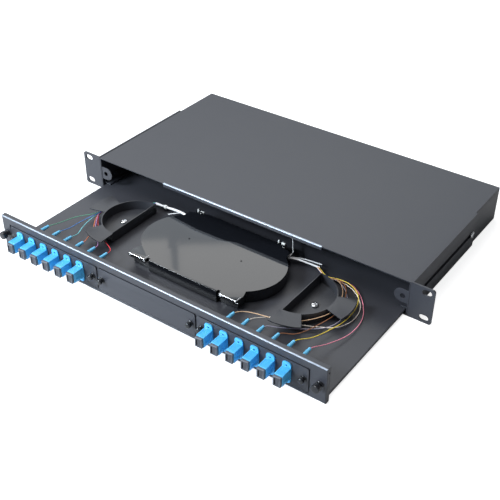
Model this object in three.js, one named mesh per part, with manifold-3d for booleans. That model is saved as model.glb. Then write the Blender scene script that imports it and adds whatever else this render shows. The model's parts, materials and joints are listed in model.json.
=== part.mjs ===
// Sliding-drawer fibre termination box for a 19-inch rack, one unit high.
// Millimetres, +Z up, +X to the right along the front panel, -Y towards the front.
// The origin is the centre of the chassis underside. The drawer is drawn out to its stop.

import * as THREE from 'three';
import { mergeVertices } from 'three/addons/utils/BufferGeometryUtils.js';
import Module from 'manifold-3d';

const wasm = await Module();
wasm.setup();

// ---------- driving dimensions ----------

const gap = 0.3; // between pieces that touch

// Chassis: a folded sheet-steel case, open at the front, with a lid.
const chassisHalfWidth = 214;
const chassisDepth = 226;
const chassisHeight = 43.5;
const sheet = 1.2;
const coverLip = { low: -112, high: 108, drop: 5 }; // folded lip in the middle of the lid's front edge
const coverSkirt = { front: 8, rear: 4, sideLow: 32.5, rearLow: 36, endSetback: 4 };
const lockTab = { inner: 205, front: 0.6, rear: 1.8, low: 14.5, high: 31, holeRadius: 3 };
const rail = { inner: 204, low: 5.8, footTop: 7, legTop: 14, endSetback: 4 };

// Rack ears: L brackets with a long slotted arm down each side of the chassis.
const earReach = 241.3; // half of the 482.6 mm rack width
const earHeight = 44;
const earThickness = 2;
const earArmLength = 158;
const rackHole = { x: 232.5, pitch: 31.75, length: 11, width: 7 };
const armSlot = { front: 14, rear: 155, low: 17, high: 23 };
const earCorner = 3;
const earScrewAt = { y: 149, z: 20, holeRadius: 2.5 };
const earScrewSize = { head: 4.2, rise: 2.4, shank: 2, recess: 1.6, recessDepth: 1 };

// Drawer: a flat tray on the chassis floor with a front panel one unit high.
const drawerOut = 158.5; // from the rack face to the panel face
const panelHalfWidth = 213.6;
const panelLow = 0.5;
const panelFlangeDepth = 6;
const trayHalfWidth = 210.5;
const trayRear = 222; // behind the panel face
const trayTop = 5.4;
const trayUnderside = 1.6;

// Three module plates stand side by side in the panel's window.
const plate = { width: 131, low: 4.5, high: 34.3, thickness: 0.9, pitch: 132.3, groupX: -3 };
const windowMargin = 0.7;
const ledge = { front: 1.2, rear: 2.6, low: 1, high: 38, overlap: 2 };
const ledgeOpening = { halfWidth: 55, low: 8, high: 30.5 };
const latch = { fromPlateCentre: 59.5, z: 20, holeRadius: 2.3 };
const plunger = { x: 206.5, z: 22.5, holeRadius: 2.7 };
const endHole = { y: 3.6, z: 37, radius: 1.1 }; // in the fold at each end of the panel

// Rows of single SC adapters, six on each outer plate.
const adapter = {
  count: 6, pitch: 18.2, rowOffset: -4, z: 18.8,
  frontLength: 14.8, rearLength: 11.5,
  halfWidth: 4.65, halfHeight: 6.35,
  flangeHalfWidth: 4.7, flangeHalfHeight: 12.3, flangeThickness: 1.5,
  flangeCorner: 2.4, flangeHoleZ: 8.6, flangeHoleRadius: 1.05,
  boreHalfWidth: 3.75, boreHalfHeight: 4.6,
};

// Fibre storage on the tray: two half-moon guides and a splice tray between them.
const storageY = 109.5; // behind the panel face
const guide = {
  x: 115.5, radius: 38.5, wall: 1.2, height: 12.8, screwX: 17,
  frontTab: [-92, -57], sideTab: [-15, 22], tabRadius: 59, tabThickness: 1.2,
};
const splice = {
  halfDepth: 55, shoulderX: 71, endCentreX: 43, endRadius: 46.5, wall: 1.8,
  low: 6, rim: 18.5, lidTop: 20.4, hingeY: -54.8, hingeZ: 16.6, studX: 58, studY: 52.5, postX: 36, postY: 3,
};
const fibreRadius = 0.45;

const cableEntry = { x: 165, z: 22, holeRadius: 10 };
const grommet = { flange: 13, bore: 6.5, lip: 2 };

// Turned parts of the panel as [radius, y] from the outer tip to the inner tip.
const plungerProfile = [
  [0, -9.6], [3.9, -9.6], [4.6, -8.8], [4.6, -4.4], [2.6, -3.8], [2.6, -1.7],
  [3.9, -1.6], [3.9, -gap], [2.2, -gap], [2.2, 7.6], [1.3, 9.6], [0, 9.6],
];
const latchProfile = [
  [0, -6.4], [2.6, -6.4], [3.2, -5.8], [3.2, -3.4], [2.1, -3], [2.1, -1.6],
  [3.5, -1.5], [3.5, -gap], [1.8, -gap], [1.8, 3.2], [2, 3.6], [1.2, 5.6], [0, 5.6],
];

// Dust cap: a head that covers the adapter's mouth and a plug inside it.
const cap = {
  headHalfWidth: 4.3, headHalfHeight: 5.9, headDepth: 2.8,
  plugHalfWidth: 3.4, plugHalfHeight: 4.2, plugEnd: -6,
  slot: [-2.6, -1.1], slotHalfHeight: 3.8, slotDepth: 1,
};

// ---------- finishes ----------

const finish = (color, roughness, metalness) => ({ color, roughness, metalness });
const powderCoat = finish(0x3c3d42, 0.62, 0.25);
const blackNylon = finish(0x161617, 0.45, 0);
const blackPlastic = finish(0x1d1e21, 0.22, 0);
const nickel = finish(0xc9cacc, 0.25, 1);
const skyBlue = finish(0x3f9ad8, 0.4, 0);
const capBlack = finish(0x232426, 0.5, 0);
const rubber = finish(0x18181a, 0.85, 0);

// ---------- solids ----------

// A closed three.js geometry as a manifold solid.
function solidFrom(geometry) {
  const bare = geometry.clone();
  bare.deleteAttribute('normal');
  bare.deleteAttribute('uv');
  const merged = mergeVertices(bare, 1e-4);
  const index = merged.index.array;
  const kept = [];
  for (let i = 0; i < index.length; i += 3) {
    const [a, b, c] = [index[i], index[i + 1], index[i + 2]];
    if (a !== b && b !== c && c !== a) kept.push(a, b, c);
  }
  return new wasm.Manifold(new wasm.Mesh({
    numProp: 3,
    vertProperties: Float32Array.from(merged.attributes.position.array),
    triVerts: Uint32Array.from(kept),
  }));
}

// A manifold solid as a three.js geometry.
function geometryFrom(solid) {
  const mesh = solid.getMesh();
  const geometry = new THREE.BufferGeometry();
  geometry.setAttribute('position', new THREE.BufferAttribute(mesh.vertProperties, 3));
  geometry.setIndex(new THREE.BufferAttribute(mesh.triVerts, 1));
  geometry.computeVertexNormals();
  return geometry;
}

// A block between two corners, each axis given as [low, high].
function block(x, y, z) {
  const geometry = new THREE.BoxGeometry(x[1] - x[0], y[1] - y[0], z[1] - z[0]);
  geometry.translate((x[0] + x[1]) / 2, (y[0] + y[1]) / 2, (z[0] + z[1]) / 2);
  return solidFrom(geometry);
}

// A round bar along one axis from low to high; at holds its two other coordinates in x, y, z order.
function bar(axis, radius, [low, high], at, facets = 12) {
  const geometry = new THREE.CylinderGeometry(radius, radius, high - low, facets);
  const middle = (low + high) / 2;
  if (axis === 'x') {
    geometry.rotateZ(Math.PI / 2).translate(middle, at[0], at[1]);
  } else if (axis === 'y') {
    geometry.translate(at[0], middle, at[1]);
  } else {
    geometry.rotateX(Math.PI / 2).translate(at[0], at[1], middle);
  }
  return solidFrom(geometry);
}

// An outline in the XY plane raised between two heights.
function slab(shape, low, high, curveSegments = 16) {
  const geometry = new THREE.ExtrudeGeometry(shape, {
    depth: high - low, bevelEnabled: false, curveSegments,
  });
  return solidFrom(geometry.translate(0, 0, low));
}

// A profile of [radius, y] points turned about the Y axis through (x, z).
function turned(profile, x, z, facets = 12) {
  const points = profile.map(([radius, y]) => new THREE.Vector2(radius, y));
  return solidFrom(new THREE.LatheGeometry(points, facets).translate(x, 0, z));
}

// A round tube of eight sides along a smooth path through the given points.
function strand(points, radius, steps) {
  const path = new THREE.CatmullRomCurve3(points.map((p) => new THREE.Vector3(...p)));
  const ring = [];
  for (let i = 0; i < 8; i += 1) {
    const angle = (i / 8) * 2 * Math.PI;
    ring.push(new THREE.Vector2(radius * Math.cos(angle), radius * Math.sin(angle)));
  }
  return solidFrom(new THREE.ExtrudeGeometry(new THREE.Shape(ring), { extrudePath: path, steps }));
}

const join = (solids) => solids.reduce((whole, next) => whole.add(next));
const cut = (whole, tools) => tools.reduce((rest, tool) => rest.subtract(tool), whole);

// An [low, high] pair on the left or right: side is -1 or 1, a and b are distances from the middle.
const across = (side, a, b) => (side < 0 ? [-b, -a] : [a, b]);

function piece(name, look, solid) {
  const mesh = new THREE.Mesh(geometryFrom(solid), new THREE.MeshStandardMaterial(look));
  mesh.name = name;
  return mesh;
}

const sides = [{ name: 'left', sign: -1 }, { name: 'right', sign: 1 }];

// ---------- fixed case; local y is the distance behind the rack face ----------

const wallInside = chassisHalfWidth - sheet;
const lidUnderside = chassisHeight - sheet;

function chassisBase() {
  const wallTop = lidUnderside - gap;
  const width = [-chassisHalfWidth, chassisHalfWidth];
  const floor = block(width, [0, chassisDepth], [0, sheet]);
  const rear = block(width, [chassisDepth - sheet, chassisDepth], [0, wallTop]);
  const parts = [floor, rear];
  const holes = [];
  const tabDepth = [lockTab.front, lockTab.rear];
  const tabRadius = (lockTab.high - lockTab.low) / 2;
  const tabMiddle = (lockTab.high + lockTab.low) / 2;
  for (const { sign } of sides) {
    parts.push(block(across(sign, wallInside, chassisHalfWidth), [0, chassisDepth], [0, wallTop]));
    // Front tab that the drawer's lock plunger snaps into, rounded at its inner end.
    parts.push(block(across(sign, lockTab.inner, wallInside + 0.1), tabDepth, [lockTab.low, lockTab.high]));
    parts.push(bar('y', tabRadius, tabDepth, [sign * lockTab.inner, tabMiddle], 24));
    holes.push(bar('y', lockTab.holeRadius, [0, 3], [sign * plunger.x, plunger.z]));
    holes.push(bar('y', cableEntry.holeRadius, [chassisDepth - 5, chassisDepth + 5],
      [sign * cableEntry.x, cableEntry.z], 20));
    holes.push(bar('x', earScrewAt.holeRadius, across(sign, wallInside - 2, chassisHalfWidth + 2),
      [earScrewAt.y, earScrewAt.z]));
  }
  return cut(join(parts), holes);
}

function topCover() {
  const width = [-chassisHalfWidth, chassisHalfWidth];
  const foldTop = lidUnderside + 0.1;
  const skirtFace = wallInside - gap;
  const rearFace = chassisDepth - sheet - gap;
  const parts = [block(width, [0, chassisDepth], [lidUnderside, chassisHeight])];
  for (const { sign } of sides) {
    parts.push(block(across(sign, skirtFace - sheet, skirtFace),
      [coverSkirt.front, chassisDepth - coverSkirt.rear], [coverSkirt.sideLow, foldTop]));
  }
  const skirtHalf = wallInside - coverSkirt.endSetback;
  parts.push(block([-skirtHalf, skirtHalf], [rearFace - sheet, rearFace], [coverSkirt.rearLow, foldTop]));
  parts.push(block([coverLip.low, coverLip.high], [0, sheet], [chassisHeight - coverLip.drop, foldTop]));
  return join(parts);
}

// Hold-down strip along the inside of a side wall: it keeps the tray's edge on the floor.
function trayRail(sign) {
  const face = wallInside - gap;
  const length = [rail.endSetback, chassisDepth - rail.endSetback];
  const leg = block(across(sign, face - sheet, face), length, [rail.low, rail.legTop]);
  const foot = block(across(sign, rail.inner, face - 0.1), length, [rail.low, rail.footTop]);
  return leg.add(foot);
}

function rackEar(sign) {
  const inner = chassisHalfWidth + gap;
  const outline = new THREE.Shape();
  outline.moveTo(inner, 0);
  outline.lineTo(earReach - earCorner, 0);
  outline.absarc(earReach - earCorner, earCorner, earCorner, -Math.PI / 2, 0, false);
  outline.lineTo(earReach, earHeight - earCorner);
  outline.absarc(earReach - earCorner, earHeight - earCorner, earCorner, 0, Math.PI / 2, false);
  outline.lineTo(inner, earHeight);
  const face = new THREE.ExtrudeGeometry(outline, {
    depth: earThickness, bevelEnabled: false, curveSegments: 5,
  });
  face.rotateX(Math.PI / 2);
  face.translate(0, earThickness, 0);
  if (sign < 0) face.rotateZ(Math.PI).translate(0, earThickness, 0);
  const arm = block(across(sign, inner, inner + earThickness), [0.1, earArmLength], [0, earHeight]);
  const holes = [block(across(sign, inner - 1, inner + earThickness + 1), [armSlot.front, armSlot.rear],
    [armSlot.low, armSlot.high])];
  for (const level of [-1, 1]) {
    const z = earHeight / 2 + (level * rackHole.pitch) / 2;
    const half = (rackHole.length - rackHole.width) / 2;
    const x = sign * rackHole.x;
    const depth = [-1, earThickness + 1];
    holes.push(block([x - half, x + half], depth, [z - rackHole.width / 2, z + rackHole.width / 2]));
    for (const end of [-half, half]) {
      holes.push(bar('y', rackHole.width / 2, depth, [x + end, z]));
    }
  }
  return cut(solidFrom(face).add(arm), holes);
}

function earScrew(sign) {
  const seat = chassisHalfWidth + gap + earThickness + gap;
  const top = seat + earScrewSize.rise;
  const middle = [earScrewAt.y, earScrewAt.z];
  const head = bar('x', earScrewSize.head, across(sign, seat, top), middle);
  const shank = bar('x', earScrewSize.shank, across(sign, wallInside - 0.2, seat + 0.1), middle);
  const recess = bar('x', earScrewSize.recess, across(sign, top - earScrewSize.recessDepth, top + 1), middle, 6);
  return head.add(shank).subtract(recess);
}

// Rubber ring in a cable entry of the rear wall.
function cableGrommet(sign) {
  const wall = [chassisDepth - sheet - gap, chassisDepth + gap];
  const neck = cableEntry.holeRadius - gap;
  const inner = wall[0] - grommet.lip;
  const outer = wall[1] + grommet.lip;
  return turned([
    [grommet.bore, inner], [grommet.flange, inner], [grommet.flange, wall[0]], [neck, wall[0]],
    [neck, wall[1]], [grommet.flange, wall[1]], [grommet.flange, outer], [grommet.bore, outer],
    [grommet.bore, inner],
  ], sign * cableEntry.x, cableEntry.z, 20);
}

// ---------- drawer; local y is the distance behind the panel's outer face ----------

const plateCentres = [-1, 0, 1].map((place) => plate.groupX + place * plate.pitch);
const windowX = [
  plateCentres[0] - plate.width / 2 - windowMargin,
  plateCentres[2] + plate.width / 2 + windowMargin,
];
const latchPlaces = plateCentres.flatMap((x) => [x - latch.fromPlateCentre, x + latch.fromPlateCentre]);
const adapterRow = (plateX) => Array.from({ length: adapter.count }, (_, i) => (
  plateX + adapter.rowOffset + (i - (adapter.count - 1) / 2) * adapter.pitch
));
const adapterPlaces = [...adapterRow(plateCentres[0]), ...adapterRow(plateCentres[2])];

function drawerTray() {
  const front = ledge.rear + 0.4;
  const deck = block([-trayHalfWidth, trayHalfWidth], [front, trayRear], [trayTop - sheet, trayTop]);
  const parts = [
    deck,
    block([-trayHalfWidth, trayHalfWidth], [front, front + sheet], [trayUnderside, trayTop]),
  ];
  const holes = [];
  for (const { sign } of sides) {
    parts.push(block(across(sign, trayHalfWidth - sheet, trayHalfWidth), [front, trayRear],
      [trayUnderside, trayTop]));
    holes.push(bar('z', 2.4, [0, trayTop + 1], [sign * (guide.x + guide.screwX), storageY]));
  }
  return cut(join(parts), holes);
}

function frontPanel() {
  const width = [-panelHalfWidth, panelHalfWidth];
  const windowZ = [plate.low - windowMargin, plate.high + windowMargin];
  const foldDepth = [0.1, panelFlangeDepth];
  const face = block(width, [0, sheet], [panelLow, chassisHeight]);
  const flange = block(width, foldDepth, [chassisHeight - sheet, chassisHeight]);
  const frame = block([windowX[0] - ledge.overlap, windowX[1] + ledge.overlap],
    [ledge.front - 0.1, ledge.rear], [ledge.low, ledge.high]);
  const parts = [face.subtract(block(windowX, [-1, sheet + 1], windowZ)), flange];
  const holes = plateCentres.map((x) => block([x - ledgeOpening.halfWidth, x + ledgeOpening.halfWidth],
    [0, ledge.rear + 1], [ledgeOpening.low, ledgeOpening.high]));
  // The ledge stands behind the window, so its front stays flush with the back of the face sheet.
  parts.push(frame.subtract(block(windowX, [0, ledge.front], windowZ)));
  for (const x of latchPlaces) {
    holes.push(bar('y', latch.holeRadius, [0, ledge.rear + 1], [x, latch.z]));
  }
  for (const { sign } of sides) {
    parts.push(block(across(sign, panelHalfWidth - sheet, panelHalfWidth), foldDepth,
      [panelLow, chassisHeight]));
    holes.push(bar('y', plunger.holeRadius, [-1, sheet + 1], [sign * plunger.x, plunger.z]));
    holes.push(bar('x', endHole.radius, across(sign, panelHalfWidth - 3, panelHalfWidth + 1),
      [endHole.y, endHole.z]));
  }
  return cut(join(parts), holes);
}

function modulePlate(x, adapterXs) {
  const halfWidth = plate.width / 2;
  const body = block([x - halfWidth, x + halfWidth], [0, plate.thickness], [plate.low, plate.high]);
  const holes = [-1, 1].map((side) => bar('y', latch.holeRadius, [-1, 2],
    [x + side * latch.fromPlateCentre, latch.z]));
  for (const place of adapterXs) {
    holes.push(block([place - adapter.halfWidth - 0.3, place + adapter.halfWidth + 0.3], [-1, 2],
      [adapter.z - adapter.halfHeight - 0.3, adapter.z + adapter.halfHeight + 0.3]));
  }
  return cut(body, holes);
}

// SC adapter, fitted from the front with its flange against the module plate.
function scAdapter(x) {
  const flangeShape = new THREE.Shape();
  const corner = adapter.flangeCorner;
  const halfW = adapter.flangeHalfWidth - corner;
  const halfH = adapter.flangeHalfHeight - corner;
  flangeShape.absarc(halfW, halfH, corner, 0, Math.PI / 2, false);
  flangeShape.absarc(-halfW, halfH, corner, Math.PI / 2, Math.PI, false);
  flangeShape.absarc(-halfW, -halfH, corner, Math.PI, 1.5 * Math.PI, false);
  flangeShape.absarc(halfW, -halfH, corner, 1.5 * Math.PI, 2 * Math.PI, false);
  flangeShape.closePath();
  const flange = new THREE.ExtrudeGeometry(flangeShape, {
    depth: adapter.flangeThickness, bevelEnabled: false, curveSegments: 2,
  });
  flange.rotateX(Math.PI / 2);
  flange.translate(x, -gap, adapter.z);
  const rear = adapter.halfWidth - 0.15;
  const body = block([x - adapter.halfWidth, x + adapter.halfWidth], [-adapter.frontLength, -gap - 0.5],
    [adapter.z - adapter.halfHeight, adapter.z + adapter.halfHeight]);
  const tail = block([x - rear, x + rear], [-gap - 1, adapter.rearLength],
    [adapter.z - adapter.halfHeight + 0.2, adapter.z + adapter.halfHeight - 0.2]);
  const bore = block([x - adapter.boreHalfWidth, x + adapter.boreHalfWidth],
    [-adapter.frontLength - 1, adapter.rearLength + 1],
    [adapter.z - adapter.boreHalfHeight, adapter.z + adapter.boreHalfHeight]);
  const holes = [-1, 1].map((side) => bar('y', adapter.flangeHoleRadius, [-5, 0.5],
    [x, adapter.z + side * adapter.flangeHoleZ], 8));
  return cut(join([solidFrom(flange), body, tail]), [bore, ...holes]);
}

function dustCap(x) {
  const front = -adapter.frontLength - gap;
  const face = front - cap.headDepth;
  const head = block([x - cap.headHalfWidth, x + cap.headHalfWidth], [face, front],
    [adapter.z - cap.headHalfHeight, adapter.z + cap.headHalfHeight]);
  const plug = block([x - cap.plugHalfWidth, x + cap.plugHalfWidth], [front - 0.1, cap.plugEnd],
    [adapter.z - cap.plugHalfHeight, adapter.z + cap.plugHalfHeight]);
  const slot = block([x + cap.slot[0], x + cap.slot[1]], [face - 1, face + cap.slotDepth],
    [adapter.z - cap.slotHalfHeight, adapter.z + cap.slotHalfHeight]);
  return head.add(plug).subtract(slot);
}

const lockPlunger = (sign) => turned(plungerProfile, sign * plunger.x, plunger.z);

const plateLatch = (x) => turned(latchProfile, x, latch.z, 10);

// Half-moon fibre guide: a D-shaped cup whose rim carries two flat tabs.
function fibreGuide(sign) {
  const facing = sign > 0 ? 0 : Math.PI;
  const toRadians = (degrees) => facing + (sign * degrees * Math.PI) / 180;
  const halfMoon = (radius, straightX) => {
    const swing = Math.acos(straightX / radius);
    const shape = new THREE.Shape();
    shape.absarc(0, 0, radius, facing - swing, facing + swing, false);
    shape.closePath();
    return shape;
  };
  const tab = ([first, last]) => {
    const [from, to] = [toRadians(first), toRadians(last)].sort((a, b) => a - b);
    const shape = new THREE.Shape();
    shape.absarc(0, 0, guide.tabRadius, from, to, false);
    shape.absarc(0, 0, guide.radius - 0.5 * guide.wall, to, from, true);
    shape.closePath();
    return slab(shape, guide.height - guide.tabThickness, guide.height, 4);
  };
  const cup = slab(halfMoon(guide.radius, 0), 0, guide.height, 16);
  const hollow = slab(halfMoon(guide.radius - guide.wall, guide.wall), guide.wall, guide.height + 1, 16);
  const screwHole = bar('z', 2.3, [-1, guide.wall + 1], [sign * guide.screwX, 0]);
  return cut(join([cup, tab(guide.frontTab), tab(guide.sideTab)]), [hollow, screwHole]);
}

// Pan-head screw that holds a guide down; its height is measured from the guide's underside.
function guideScrew(sign) {
  const x = sign * guide.screwX;
  const seat = guide.wall + gap;
  const head = bar('z', 4.3, [seat, seat + 1.6], [x, 0]);
  const crown = bar('z', 3.4, [seat + 1.5, seat + 2.3], [x, 0]);
  const shank = bar('z', 1.9, [-2.6, seat + 0.1], [x, 0], 16);
  const recess = bar('z', 1.3, [seat + 1.2, seat + 3], [x, 0], 6);
  return join([head, crown, shank]).subtract(recess);
}

// Outline shared by the splice tray and its lid: a wide middle with bulging ends.
// inset shrinks it evenly enough for a wall; lugs adds the hinge lugs at the front corners.
function spliceOutline(inset, lugs) {
  const depth = splice.halfDepth - inset;
  const shoulder = splice.shoulderX - inset;
  const radius = splice.endRadius - inset;
  const swing = Math.asin(Math.sqrt(radius ** 2 - (shoulder - splice.endCentreX) ** 2) / radius);
  const lugY = lugs ? 57 : 51 - inset;
  const shape = new THREE.Shape();
  shape.moveTo(-46 + inset, -depth);
  shape.lineTo(46 - inset, -depth);
  shape.lineTo(46 - inset, -51 + inset);
  shape.lineTo(50, -51 + inset);
  if (lugs) shape.lineTo(50, -lugY);
  shape.lineTo(lugs ? 74 : shoulder, -lugY);
  if (lugs) shape.lineTo(74, -45);
  shape.absarc(splice.endCentreX, 0, radius, -swing, swing, false);
  shape.lineTo(shoulder, 47 - inset);
  shape.lineTo(48, depth);
  shape.lineTo(-48, depth);
  shape.lineTo(-shoulder, 47 - inset);
  shape.absarc(-splice.endCentreX, 0, radius, Math.PI - swing, Math.PI + swing, false);
  if (lugs) shape.lineTo(-74, -45);
  shape.lineTo(lugs ? -74 : -shoulder, -lugY);
  if (lugs) shape.lineTo(-50, -lugY);
  shape.lineTo(-50, -51 + inset);
  shape.lineTo(-46 + inset, -51 + inset);
  shape.closePath();
  return shape;
}

function spliceTrayBase() {
  const outside = slab(spliceOutline(0, false), splice.low, splice.rim, 10);
  const inside = slab(spliceOutline(splice.wall, false), splice.low + splice.wall, splice.rim + 1, 10);
  const parts = [outside.subtract(inside)];
  const inlets = [];
  for (const { sign } of sides) {
    // Hinge pin between two ears in front of the wall.
    for (const ear of [50.5, 70.5]) {
      parts.push(bar('x', 1.8, across(sign, ear, ear + 3), [splice.hingeY, splice.hingeZ], 10));
      parts.push(block(across(sign, ear, ear + 3), [splice.hingeY, -50.2],
        [splice.hingeZ - 1.8, splice.hingeZ + 0.4]));
    }
    parts.push(bar('x', 1, across(sign, 51, 73), [splice.hingeY, splice.hingeZ], 10));
    // Post under each lid hole, and a snap stud at each rear corner.
    parts.push(bar('z', 2.2, [splice.low + 1, splice.rim], [sign * splice.postX, splice.postY], 10));
    parts.push(bar('z', 2.4, [splice.low, splice.rim], [sign * splice.studX, splice.studY], 10));
    parts.push(bar('z', 1.3, [splice.rim - 1, splice.lidTop + 0.6], [sign * splice.studX, splice.studY], 10));
    // Fibre inlet through the rear corner of the wall.
    inlets.push(block(across(sign, 62, 75), [42, 52], [splice.low + 3, splice.rim + 1]));
  }
  return cut(join(parts), inlets);
}

function spliceTrayLid() {
  const plateLow = splice.rim + gap;
  const parts = [slab(spliceOutline(0, true), plateLow, splice.lidTop, 10)];
  const holes = [];
  for (const { sign } of sides) {
    parts.push(bar('x', 1.9, across(sign, 54.5, 69.5), [splice.hingeY, splice.hingeZ], 10));
    parts.push(block(across(sign, 54.5, 69.5), [splice.hingeY - 1.9, splice.hingeY + 1.4],
      [splice.hingeZ, plateLow + 0.1]));
    holes.push(bar('x', 1.3, across(sign, 54, 70), [splice.hingeY, splice.hingeZ], 10));
    holes.push(bar('z', 1.1, [plateLow - 1, splice.lidTop + 1], [sign * splice.postX, splice.postY], 12));
    holes.push(bar('z', 1.8, [plateLow - 1, splice.lidTop + 1], [sign * splice.studX, splice.studY], 10));
  }
  return cut(join(parts), holes);
}

// Each connector's fibre runs on the tray around the outside of the guide, under its tabs, into a
// sleeve that enters the splice tray. Points are [distance from the middle, y, z] on the drawer, so
// one set of numbers reads the same on both sides.
const aroundGuide = (degrees, radius, z) => {
  const angle = (degrees * Math.PI) / 180;
  return [guide.x + radius * Math.cos(angle), storageY + radius * Math.sin(angle), z];
};

const leftHarness = {
  places: adapterPlaces.slice(0, 6),
  leads: [
    [[184, 54, 14.5], aroundGuide(-27, 72.5, 12.2)],
    [[166.5, 54, 14.5], aroundGuide(-35, 64, 12.4)],
    [[151, 52, 14], aroundGuide(-37, 58, 10.6)],
    [[136, 52, 14], aroundGuide(-51, 48.7, 10.4), aroundGuide(-30, 47.8, 10)],
    [[118, 51, 14.5], aroundGuide(-70, 50, 12.6), aroundGuide(-40, 45, 12)],
    [[99, 51, 14.5], aroundGuide(-80, 46, 12), aroundGuide(-42, 42.4, 10.6)],
  ],
  slots: [[1, 0.5], [0, 0.5], [1, -0.5], [0, -0.5], [-1, 0.5], [-1, -0.5]],
  bundle: [
    [-8, 50, 10.6], [16, 48, 10.2], [38, 43.5, 8.8], [56, 42.5, 8.3], [68, 45, 9], [76, 49.2, 9.9],
    [79.5, 50, 10.1],
  ],
  sleeve: [
    [125, 158.6, 10.1], [110, 159.2, 10.3], [96, 159.5, 11.2], [84, 158.2, 12.4], [73, 155.5, 13], [62, 152, 13],
  ],
  spare: [[66, 152.6, 13], [76, 157.5, 12.6], [85, 160.5, 10.8], [93, 155.2, 9.6], [99.5, 150.6, 8.4]],
};
const rightHarness = {
  places: adapterPlaces.slice(6),
  leads: [
    [[88, 52, 15], aroundGuide(-75, 47, 14.2), aroundGuide(-45, 42, 14), aroundGuide(-5, 41.6, 13.4),
      aroundGuide(35, 43, 12), aroundGuide(60, 48, 10.8)],
    [[104, 55, 13.5], [114, 65, 11.8], aroundGuide(-56, 45.5, 10.4), aroundGuide(-38, 49, 9.3),
      aroundGuide(-18, 57.4, 8.1), aroundGuide(2, 61.5, 7.2), aroundGuide(24, 62.4, 7.2),
      aroundGuide(50, 58, 7.9)],
    [[127, 53, 13], aroundGuide(-45, 52, 10.2), aroundGuide(-23, 53, 8.6), aroundGuide(0, 51, 7.6),
      aroundGuide(30, 48.5, 8), aroundGuide(58, 50, 8.4)],
    [[145, 54, 13], aroundGuide(-33, 47.5, 11.2), aroundGuide(0, 44, 10.4), aroundGuide(30, 45.4, 9.9),
      aroundGuide(58, 51.5, 10)],
    [[161, 60, 12.5], aroundGuide(-27, 58.5, 10.2), aroundGuide(-6, 57.2, 9.9), aroundGuide(22, 58.8, 9.4),
      aroundGuide(42, 60.2, 9.2), aroundGuide(60, 57.5, 9.6)],
    [[177, 60, 12], aroundGuide(-15.8, 73, 8.5), aroundGuide(6.7, 69, 7.2), aroundGuide(23.6, 65.4, 7),
      aroundGuide(41, 63, 7.1), aroundGuide(60, 60, 7.8)],
  ],
  slots: [[-1, 0.5], [0, -0.5], [-1, -0.5], [0, 0.5], [1, 0.5], [1, -0.5]],
  bundle: [[74, 51, 8.8], [86, 46.5, 8.4], [97, 50.5, 9.3], [102.3, 55.4, 10.1], [104.4, 56.4, 10.3]],
  sleeve: [[104, 164.5, 10.2], [90, 163, 11], [78, 160.5, 12.3], [69.5, 156.8, 13], [62, 152, 13]],
  spare: [[66, 155.5, 13.4], [73, 160.5, 12.8], [81, 166, 11.4], [92, 169, 10.4], [103, 171, 9.8]],
};

const bootEnd = 41.5;
const bootZ = adapter.z - 1;
const sleeveRadius = 1.75;
const spareRadius = 0.6; // a second, thin sleeve beside the first

// Six connectors with their boots and fibres, joined where the fibres share the sleeve.
function pigtails(sign, { places, leads, slots, bundle, sleeve, spare }) {
  const onSide = (points) => points.map(([x, y, z]) => [sign * x, y, z]);
  const parts = [strand(onSide(sleeve), sleeveRadius, 8), strand(onSide(spare), spareRadius, 8)];
  places.forEach((x, i) => {
    const [aside, above] = slots[i];
    const shared = bundle.map(([degrees, radius, z]) => aroundGuide(degrees, radius + aside, z + above));
    const exit = [[Math.abs(x), bootEnd - 3, bootZ], [Math.abs(x), bootEnd + 2, bootZ - 0.4]];
    const bootFront = bootEnd - 14;
    parts.push(block([x - 3.4, x + 3.4], [1.5, bootFront + 1], [adapter.z - 4.2, adapter.z + 4.2]));
    parts.push(turned([[0, bootFront], [2.9, bootFront], [1.5, bootEnd], [0, bootEnd]], x, bootZ, 8));
    parts.push(strand(onSide([...exit, ...leads[i], ...shared]), fibreRadius, 15));
  });
  return join(parts);
}

// ---------- assembly ----------

const chassis = new THREE.Group();
chassis.position.y = -chassisDepth / 2;
chassis.add(piece('chassis_base', powderCoat, chassisBase()));
chassis.add(piece('top_cover', powderCoat, topCover()));
for (const { name, sign } of sides) {
  chassis.add(piece(`tray_rail_${name}`, powderCoat, trayRail(sign)));
  chassis.add(piece(`rack_ear_${name}`, powderCoat, rackEar(sign)));
  chassis.add(piece(`ear_screw_${name}`, nickel, earScrew(sign)));
  chassis.add(piece(`cable_grommet_${name}`, rubber, cableGrommet(sign)));
}

const drawer = new THREE.Group();
drawer.position.y = chassis.position.y - drawerOut;
drawer.add(piece('drawer_tray', powderCoat, drawerTray()));
drawer.add(piece('front_panel', powderCoat, frontPanel()));
const plateNames = ['adapter_plate_left', 'blank_plate', 'adapter_plate_right'];
plateCentres.forEach((x, i) => {
  const places = i === 1 ? [] : adapterRow(x);
  drawer.add(piece(plateNames[i], powderCoat, modulePlate(x, places)));
});
adapterPlaces.forEach((x, i) => {
  drawer.add(piece(`sc_adapter_${i + 1}`, skyBlue, scAdapter(x)));
  drawer.add(piece(`dust_cap_${i + 1}`, capBlack, dustCap(x)));
});
latchPlaces.forEach((x, i) => {
  drawer.add(piece(`plate_latch_${i + 1}`, blackNylon, plateLatch(x)));
});
for (const { name, sign } of sides) {
  drawer.add(piece(`lock_plunger_${name}`, blackNylon, lockPlunger(sign)));
}

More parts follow.
